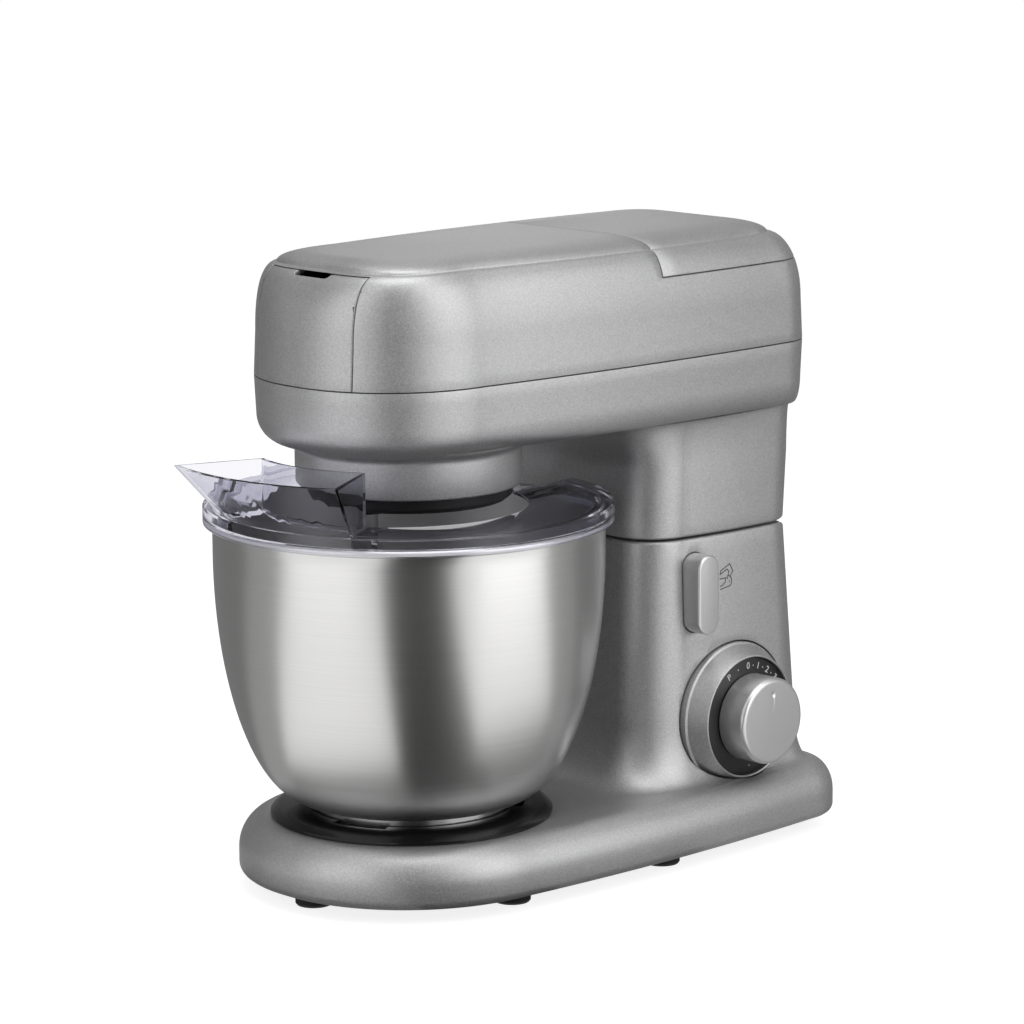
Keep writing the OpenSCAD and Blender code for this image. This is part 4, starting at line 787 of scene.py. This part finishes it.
class MIXER_OT_head_upper(bpy.types.Operator):
    """Model the upper half of the head with its two covers"""
    bl_idname = "mixer.head_upper"
    bl_label = "Upper Head and Covers"

    def execute(self, context):
        half = SEAM_GAP / 2

        def nose_space(grown):
            edge = NOSE_COVER_HALF_W + grown
            return block((-edge, -100, 270), (edge, -54 + grown, NOSE_COVER_TOP + grown))

        def tail_space(grown):
            return block((-100, REAR_COVER_Y - grown, REAR_COVER_Z - grown), (100, 300, 360))

        front = to_object("front_cover_visual", lofted(upper_head_rings()))
        carve(front, [nose_space(-half)], "INTERSECT")
        notch = block((-13, -67, 330.6), (13, -50, 337))
        upright = [e for e in notch.edges if abs(e.verts[0].co.z - e.verts[1].co.z) > 1e-4]
        round_edges(notch, upright, 0.0025)
        carve(front, [notch])
        rear = to_object("rear_cover_visual", lofted(upper_head_rings()))
        carve(rear, [tail_space(-half)], "INTERSECT")
        shell = to_object("head_upper_shell_visual", lofted(upper_head_rings()))
        carve(shell, [nose_space(half), tail_space(half)])
        # Deck under the rear cover, with the mouth of the high speed outlet
        deck = to_object("rear_deck", lofted([
            ring_of(blended(head_at(WALL_TOP), CREASE, 0.2), z, 1.5) for z in (318.2, 320.7)]))
        carve(deck, [block((-120, -120, 300), (120, REAR_COVER_Y - 3, 330)),
                     drum((0, 172, 320), "Z", 15, 12, 64)])
        carve(shell, [opened(deck.data)], "UNION")
        bpy.data.objects.remove(deck)
        for piece, node in ((front, "front_cover"), (rear, "rear_cover"),
                            (shell, "head_upper_shell")):
            soften(piece, context.scene.mixer_sizes.seam_round)
            stand_for(piece, node, "silver_paint")
        return {"FINISHED"}


class MIXER_OT_bowl(bpy.types.Operator):
    """Model the bowl, its foot and the seat that it locks into"""
    bl_idname = "mixer.bowl"
    bl_label = "Bowl and Seat"

    def execute(self, context):
        floor_z, floor_r, rim_r, curve_h, sheet = 47, 56, 104, 133, 0.9
        neck_z, bead_z, top = 190, 195.5, 198
        outer = [(floor_r + (rim_r - floor_r) * math.sin(t), floor_z + curve_h * (1 - math.cos(t)))
                 for t in turns(0, 90, 3)]
        inner = [(floor_r - sheet + (rim_r - floor_r) * math.sin(t),
                  floor_z + sheet + curve_h * (1 - math.cos(t))) for t in turns(90, 0, 3)]
        bead_r, bead_x = 2, rim_r + 2 - sheet
        bead = [(bead_x + bead_r * math.cos(t), top + bead_r * math.sin(t))
                for t in turns(-115, 180, 11.8)]
        profile = [(0, floor_z)] + outer + [(rim_r, neck_z), (rim_r, bead_z)] + bead
        profile += [(rim_r - sheet, bead_z), (rim_r - sheet, neck_z)] + inner
        profile += [(0, floor_z + sheet)]
        bowl = to_object("mixing_bowl_visual", spun(profile, steps=192), BOWL_ANGLE)
        stand_for(bowl, "mixing_bowl", "bowl_steel")
        smooth_copy("bowl_foot", "steel")
        smooth_copy("bowl_seat", "black_gloss")
        return {"FINISHED"}


class MIXER_OT_guard(bpy.types.Operator):
    """Model the clear splash guard with its feeding chute"""
    bl_idname = "mixer.guard"
    bl_label = "Splash Guard"

    def execute(self, context):
        piece = smooth_copy("splash_guard", "clear_guard")
        flat = opened(piece.data)
        bmesh.ops.dissolve_limit(flat, angle_limit=math.radians(0.6), verts=flat.verts,
                                 edges=flat.edges)
        flat.to_mesh(piece.data)
        flat.free()
        soften(piece, context.scene.mixer_sizes.guard_round, 50, 3)
        return {"FINISHED"}


# The prints on the dial, in mm and degrees
PRINT_X = 77.03
PRINT_THICK = 0.04
NUMBERS_R = 28.2
NUMBER_STEP = 16.3
PULSE_ANGLE = -32
END_DOTS = [-16.5, 178]


def on_dial(angle):
    """The place of a print on the scale ring. angle is in radians, and 0 is at the top."""
    return PRINT_X, DIAL_Y + NUMBERS_R * math.sin(angle), DIAL_Z + NUMBERS_R * math.cos(angle)


def dial_text(body, turn, size):
    """A mark on the dial, made a mesh and laid on the scale ring."""
    curve = bpy.data.curves.new("dial_number", "FONT")
    curve.body = body
    curve.size = size
    curve.align_x = "CENTER"
    curve.align_y = "CENTER"
    curve.extrude = PRINT_THICK * MM
    curve.offset = 0.00002
    words = add_object("dial_number", curve)
    mesh = evaluated_mesh(words)
    bpy.data.objects.remove(words)
    bpy.data.curves.remove(curve)
    centre = place(*on_dial(turn))
    basis = Matrix(((0, 0, 1, centre.x), (math.cos(turn), math.sin(turn), 0, centre.y),
                    (-math.sin(turn), math.cos(turn), 0, centre.z), (0, 0, 0, 1)))
    mesh.transform(basis)
    return mesh


BUTTON_FACE = 74


class MIXER_OT_controls(bpy.types.Operator):
    """Model the dial with its knob and numbers, and the release button"""
    bl_idname = "mixer.controls"
    bl_label = "Dial, Knob and Button"

    def execute(self, context):
        sizes = context.scene.mixer_sizes
        middle = (DIAL_Y, DIAL_Z)
        bezel = to_object("dial_bezel_visual", spun(
            [(33, 60), (40, 60), (40, 66.8), (39.8, 67.3), (38.6, 67.9), (38.2, 69), (35.6, 74.8),
             (34.4, 78.2), (34.1, 78.7), (33.6, 78.9), (33.1, 78.6)], middle, 160))
        stand_for(bezel, "dial_bezel", "silver_paint", "silver_trim")
        scale = to_object("dial_scale_visual", spun(
            [(5, 55), (9, 55), (9, 75), (32.5, 75), (32.5, 76.9), (32.3, 77), (5, 77)], middle))
        stand_for(scale, "dial_scale", "scale_black", "black_plastic")
        marks = bmesh.new()
        for body, angle in [("P", PULSE_ANGLE)] + [(str(i), i * NUMBER_STEP) for i in range(9)]:
            mesh = dial_text(body, math.radians(angle), sizes.number_height)
            marks.from_mesh(mesh)
            bpy.data.meshes.remove(mesh)
        for angle in END_DOTS + [(i + 0.5) * NUMBER_STEP for i in range(8)]:
            add_drum(marks, on_dial(math.radians(angle)), "X", 0.38, 2 * PRINT_THICK, 20)
        bmesh.ops.remove_doubles(marks, verts=marks.verts, dist=MERGE)
        marks = to_object("dial_marks", marks)
        marks.data.materials.append(MATERIALS["pale_print"])
        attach(marks, "base")
        # Knob, with a dimple that points at the numbers
        knob = [(0, 77.5), (22.4, 77.5), (23.5, 77.5), (24, 78.2), (24, 92.3)]
        knob += [(21.4 + 2.6 * math.cos(t), 93.2 + 2.6 * math.sin(t))
                 for t in turns(0, 90, 11.25)]
        knob = to_object("speed_knob_visual", spun(knob + [(20.6, 95.85), (0, 96)], middle))
        dimple = bmesh.new()
        bmesh.ops.create_uvsphere(dimple, u_segments=32, v_segments=16, radius=3.2 * MM,
                                  matrix=Matrix.Translation(place(98.4, DIAL_Y, DIAL_Z + 15)))
        carve(knob, [dimple])
        carve(knob, [drum((61.5, DIAL_Y, DIAL_Z), "X", 3, 45, 48)], "UNION")
        stand_for(knob, "speed_knob", "silver_trim")
        # Release button
        button = pill(16, 44, BUTTON_Y, BUTTON_Z, 60, BUTTON_FACE, 96)
        front = [e for e in button.edges
                 if all(abs(v.co.x - BUTTON_FACE * MM) < MERGE for v in e.verts)]
        round_edges(button, front, sizes.button_round)
        button = to_object("release_button_visual", button)
        stand_for(button, "release_button", "silver_trim")
        return {"FINISHED"}


# Width of the symbol's lines in mm, and how far its prints reach into the wall in metres
LINE_W = 0.6
PRINT_DEPTH = 0.0003
# Points of the column's outline further out than this, in metres, are on its sides
SIDE_X = 0.04


def column_side(y, z):
    """How far the right side of the lower column stands from the middle plane, in metres."""
    ring = [p for p in ring_of(lower_column(z), z) if p.x > SIDE_X]
    across = (y - FRAME_Y) * MM
    for a, b in zip(ring, ring[1:]):
        if min(a.y, b.y) <= across <= max(a.y, b.y) and abs(a.y - b.y) > 1e-9:
            return a.x + (b.x - a.x) * (across - a.y) / (b.y - a.y)
    return max(p.x for p in ring)


class MIXER_OT_symbol(bpy.types.Operator):
    """Print the tilt symbol beside the release button"""
    bl_idname = "mixer.symbol"
    bl_label = "Tilt Symbol"

    def execute(self, context):
        lines = [[(171.4, 151.0), (172.1, 153.1), (178.7, 156.1), (180.9, 151.9), (178.8, 149.0),
                  (177.3, 150.1), (178.1, 151.8), (176.7, 153.4), (171.4, 151.0)],
                 [(178.8, 149.0), (179.8, 147.9), (179.8, 145.1), (178.7, 143.9), (171.5, 142.7)],
                 [(171.3, 148.5), (175.7, 148.7), (175.1, 146.4), (172.9, 144.8), (171.4, 144.5)],
                 [(177.3, 150.1), (176.7, 148.1)]]
        bm = bmesh.new()
        for line in lines:
            for (y0, z0), (y1, z1) in zip(line, line[1:]):
                long = math.hypot(y1 - y0, z1 - z0)
                turn = Matrix.Rotation(math.atan2(z1 - z0, y1 - y0), 4, "X")
                stretch = Matrix.Diagonal((1, long + LINE_W, LINE_W, 1))
                middle = Matrix.Translation((0, (y0 + y1) / 2, (z0 + z1) / 2))
                bmesh.ops.create_cube(bm, size=1, matrix=middle @ turn @ stretch)
        dot = Matrix.Translation((0, 178.1, 146.3)) @ Matrix.Rotation(math.pi / 2, 4, "Y")
        bmesh.ops.create_cone(bm, cap_ends=True, segments=24, radius1=0.4, radius2=0.4, depth=1,
                              matrix=dot)
        # The flat drawing is laid on the side of the column, a little proud of it
        for vert in bm.verts:
            y, z = vert.co.y, vert.co.z
            stand = PRINT_THICK * MM if vert.co.x > 0 else -PRINT_DEPTH
            vert.co = place(0, y, z)
            vert.co.x = column_side(y, z) + stand
        mark = to_object("tilt_symbol", bm)
        mark.data.materials.append(MATERIALS["dark_print"])
        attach(mark, "base")
        return {"FINISHED"}


class MIXER_OT_fittings(bpy.types.Operator):
    """Dress the feet, the cord inlet and the tool drive"""
    bl_idname = "mixer.fittings"
    bl_label = "Feet, Inlet and Tool Drive"

    def execute(self, context):
        for node, finish in (("feet", "rubber"), ("cord_gland", "rubber"),
                             ("planetary_head", "black_plastic"), ("tool_spindle", "steel"),
                             ("bottom_cover", "black_plastic")):
            smooth_copy(node, finish)
        # The spring gets a mesh of its own
        spring = smooth_copy("button_spring", "steel")
        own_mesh(spring)
        return {"FINISHED"}


class MIXER_OT_drive(bpy.types.Operator):
    """Give every inner part its finish"""
    bl_idname = "mixer.drive"
    bl_label = "Inner Parts"

    def execute(self, context):
        for name, node in frame["nodes"].items():
            slots = node.material_slots
            slot = slots[0].material.name.split(".")[0] if slots else "steel"
            finish = MATERIALS.get(NODE_FINISH.get(name, slot), MATERIALS["steel"])
            if not slots:
                node.data.materials.append(finish)
            for entry in slots:
                entry.link = "OBJECT"
                entry.material = finish
        return {"FINISHED"}


NODES_WITH_FINISH = {
    "zinc_steel": ("cover_screws", "seat_screws", "hinge_frame", "frame_screws", "latch_slide",
                   "head_screws", "latch_catch", "motor_pulley"),
    "steel": ("hinge_pin", "button_spring", "motor_bearings", "motor_shaft", "pinion_shaft",
              "pinion_bearing", "main_shaft", "main_bearing"),
    "cast_metal": ("arm_frame", "motor_top_bracket", "motor_bottom_bracket", "outlet_bracket"),
    "laminated_steel": ("motor_stator", "rotor_core"),
    "copper": ("field_coils", "brush_holders", "commutator"),
    "black_plastic": ("speed_switch", "blender_coupling", "large_pulley", "outlet_socket"),
    "gear_plastic": ("cooling_fan", "main_gear", "shaft_bevel_gear", "ring_gear", "planet_gear"),
    "rubber": ("carbon_brushes", "drive_belt"),
    "board": ("control_board",),
}
NODE_FINISH = {node: finish for finish, nodes in NODES_WITH_FINISH.items() for node in nodes}


# ---- studio

CAMERA_AZIMUTH = 46.2145
CAMERA_HEIGHT = 10.6603
CAMERA_ROLL = -0.2858
CAMERA_DISTANCE = 2.205
CAMERA_LENS = 146.56
CAMERA_SHIFT = 0.05452
CAMERA_AIM_Z = 0.20004
FLOOR_GREY = (0.42, 0.42, 0.42, 1)
FLOOR_GLOW = (0.84, 0.84, 0.84, 1)
WORLD_LIGHT = 0.38
LIGHTS_AIM_Z = 0.18
# Name, turn from the camera, distance, height, width, tallness and power in watts
LIGHTS = (
    ("Right Softbox", 62, 1.7, 0.9, 1.6, 1.8, 14),
    ("Left Softbox", -48, 1.8, 0.8, 1.4, 1.6, 5.5),
    ("Top Softbox", 20, 0.3, 1.9, 1.3, 1.3, 12),
)
# A profile is a list of (distance, height) in metres
WALL_PROFILE = ((0.03, 0.003), (1.1, 0.003), (2.7, 0.003), (2.7, 1.6), (2.7, 3.4))
# The floor card is a dim disc on the floor, under and round the object, that only reflections see:
# painted shade of the floor near the object
FLOOR_SHADE_PROFILE = ((0.02, 0.0015), (0.12, 0.0015), (0.205, 0.0015))
# Name, first and last turn, shade and, if it does not rise into a wall, profile
CARDS = (
    ("Front Card", -16, 21, 0.055),
    # Painted shade of the floor round the object, seen only in reflections
    ("Floor Shade Card", -180, 180, 0.20, FLOOR_SHADE_PROFILE),
    ("Left Edge Card", -100, -72, 0.42),
    ("Left Card", -176, -100, 0.22),
    ("Right Edge Card", 79, 107, 0.38),
    ("Right Card", 107, 176, 0.22),
)
CARD_STEP = 8


def studio_point(turn, distance, height):
    """A point round the object. turn is in degrees to the right of the camera."""
    angle = math.radians(CAMERA_AZIMUTH + turn)
    return Vector((math.sin(angle) * distance, -math.cos(angle) * distance, height))


def soft_light(name, turn, distance, height, width, tall, power):
    lamp = bpy.data.lights.new(name, "AREA")
    lamp.shape = "RECTANGLE"
    lamp.size = width
    lamp.size_y = tall
    lamp.energy = power
    obj = add_object(name, lamp)
    spot = studio_point(turn, distance, height)
    facing = (Vector((0, 0, LIGHTS_AIM_Z)) - spot).to_track_quat("-Z", "Y").to_matrix().to_4x4()
    obj.matrix_world = Matrix.Translation(spot) @ facing
    obj.visible_camera = False


def dark_card(name, first, last, shade, profile=WALL_PROFILE):
    """A dark panel between two turns round the object, that only reflections see."""
    bm = bmesh.new()
    verts = [bm.verts.new(studio_point(first, distance, height)) for distance, height in profile]
    edges = [bm.edges.new(pair) for pair in zip(verts, verts[1:])]
    bmesh.ops.spin(bm, geom=verts + edges, cent=(0, 0, 0), axis=(0, 0, 1),
                   angle=math.radians(last - first),
                   steps=max(3, round((last - first) / CARD_STEP)))
    card = to_object(name, bm)
    paint = bpy.data.materials.new(name)
    paint.use_nodes = True
    nodes = paint.node_tree.nodes
    nodes.remove(nodes["Principled BSDF"])
    glow = add_node(paint.node_tree, "Emission", {"Color": (shade, shade, shade, 1)})
    paint.node_tree.links.new(glow.outputs["Emission"], nodes["Material Output"].inputs["Surface"])
    card.data.materials.append(paint)
    for rays in ("camera", "diffuse", "shadow", "transmission"):
        setattr(card, "visible_" + rays, False)


def seen_plainly(tree):
    """1 for camera, mirror and glass rays, 0 for the rays that light the object."""
    rays = add_node(tree, "LightPath").outputs
    seen = rays["Is Camera Ray"]
    for kind in ("Is Glossy Ray", "Is Transmission Ray"):
        larger = add_node(tree, "Math", {0: seen, 1: rays[kind]}, operation="MAXIMUM")
        seen = larger.outputs["Value"]
    return seen


class MIXER_OT_stage(bpy.types.Operator):
    """Set up the floor, the lights and the camera"""
    bl_idname = "mixer.stage"
    bl_label = "Studio"

    def execute(self, context):
        scene = context.scene
        bm = bmesh.new()
        bmesh.ops.create_grid(bm, x_segments=1, y_segments=1, size=4)
        floor = to_object("studio_floor", bm)
        paint = bpy.data.materials.new("Pale Floor")
        paint.use_nodes = True
        tree = paint.node_tree
        tree.nodes.remove(tree.nodes["Principled BSDF"])
        matt = add_node(tree, "BsdfDiffuse", {"Color": FLOOR_GREY})
        glow = add_node(tree, "Emission", {
            "Color": FLOOR_GLOW, "Strength": seen_plainly(tree)})
        both = add_node(tree, "AddShader", {
            0: matt.outputs["BSDF"], 1: glow.outputs["Emission"]})
        tree.links.new(both.outputs["Shader"], tree.nodes["Material Output"].inputs["Surface"])
        floor.data.materials.append(paint)
        # The world is white to look at, and lights the object less brightly
        world = bpy.data.worlds.new("Studio")
        world.use_nodes = True
        tree = world.node_tree
        level = add_node(tree, "MapRange", {
            "Value": seen_plainly(tree), "To Min": WORLD_LIGHT})
        sky = tree.nodes["Background"].inputs
        sky["Color"].default_value = (1, 1, 1, 1)
        tree.links.new(level.outputs["Result"], sky["Strength"])
        scene.world = world
        for light in LIGHTS:
            soft_light(*light)
        for card in CARDS:
            dark_card(*card)
        camera = bpy.data.cameras.new("Camera")
        camera.sensor_width = 36
        camera.lens = CAMERA_LENS
        camera.clip_end = 20
        view = add_object("Camera", camera)
        yaw, pitch = math.radians(CAMERA_AZIMUTH), math.radians(CAMERA_HEIGHT)
        back = Vector((math.sin(yaw) * math.cos(pitch), -math.cos(yaw) * math.cos(pitch),
                       math.sin(pitch)))
        right = Vector((math.cos(yaw), math.sin(yaw), 0))
        up = back.cross(right)
        spot = (right * CAMERA_SHIFT + Vector((0, -FRAME_Y * MM, CAMERA_AIM_Z))
                + back * CAMERA_DISTANCE)
        roll = math.radians(CAMERA_ROLL)
        right, up = (right * math.cos(roll) + up * math.sin(roll),
                     up * math.cos(roll) - right * math.sin(roll))
        view.matrix_world = (Matrix.Translation(spot)
                             @ Matrix((right, up, back)).transposed().to_4x4())
        scene.camera = view
        scene.view_settings.view_transform = "Standard"
        return {"FINISHED"}


OPERATORS = (MIXER_OT_finishes, MIXER_OT_drive, MIXER_OT_base, MIXER_OT_head_lower,
             MIXER_OT_head_upper, MIXER_OT_bowl, MIXER_OT_guard, MIXER_OT_controls,
             MIXER_OT_symbol, MIXER_OT_fittings, MIXER_OT_stage)


class MIXER_PT_panel(bpy.types.Panel):
    """Sizes, colours and pieces of the mixer"""
    bl_idname = "MIXER_PT_panel"
    bl_label = "Stand Mixer"
    bl_space_type = "VIEW_3D"
    bl_region_type = "UI"
    bl_category = "Mixer"

    def draw(self, context):
        for group in (context.scene.mixer_sizes, context.scene.mixer_finish):
            for name in group.__annotations__:
                self.layout.prop(group, name)
        for operator in OPERATORS:
            self.layout.operator(operator.bl_idname)


CLASSES = (MixerSizes, MixerFinish, MIXER_PT_panel) + OPERATORS


def register():
    for item in CLASSES:
        bpy.utils.register_class(item)
    bpy.types.Scene.mixer_sizes = bpy.props.PointerProperty(type=MixerSizes)
    bpy.types.Scene.mixer_finish = bpy.props.PointerProperty(type=MixerFinish)


def unregister():
    del bpy.types.Scene.mixer_sizes
    del bpy.types.Scene.mixer_finish
    for item in reversed(CLASSES):
        bpy.utils.unregister_class(item)


def main():
    register()
    for operator in OPERATORS:
        group, name = operator.bl_idname.split(".")
        getattr(getattr(bpy.ops, group), name)()


if __name__ == "__main__":
    main()
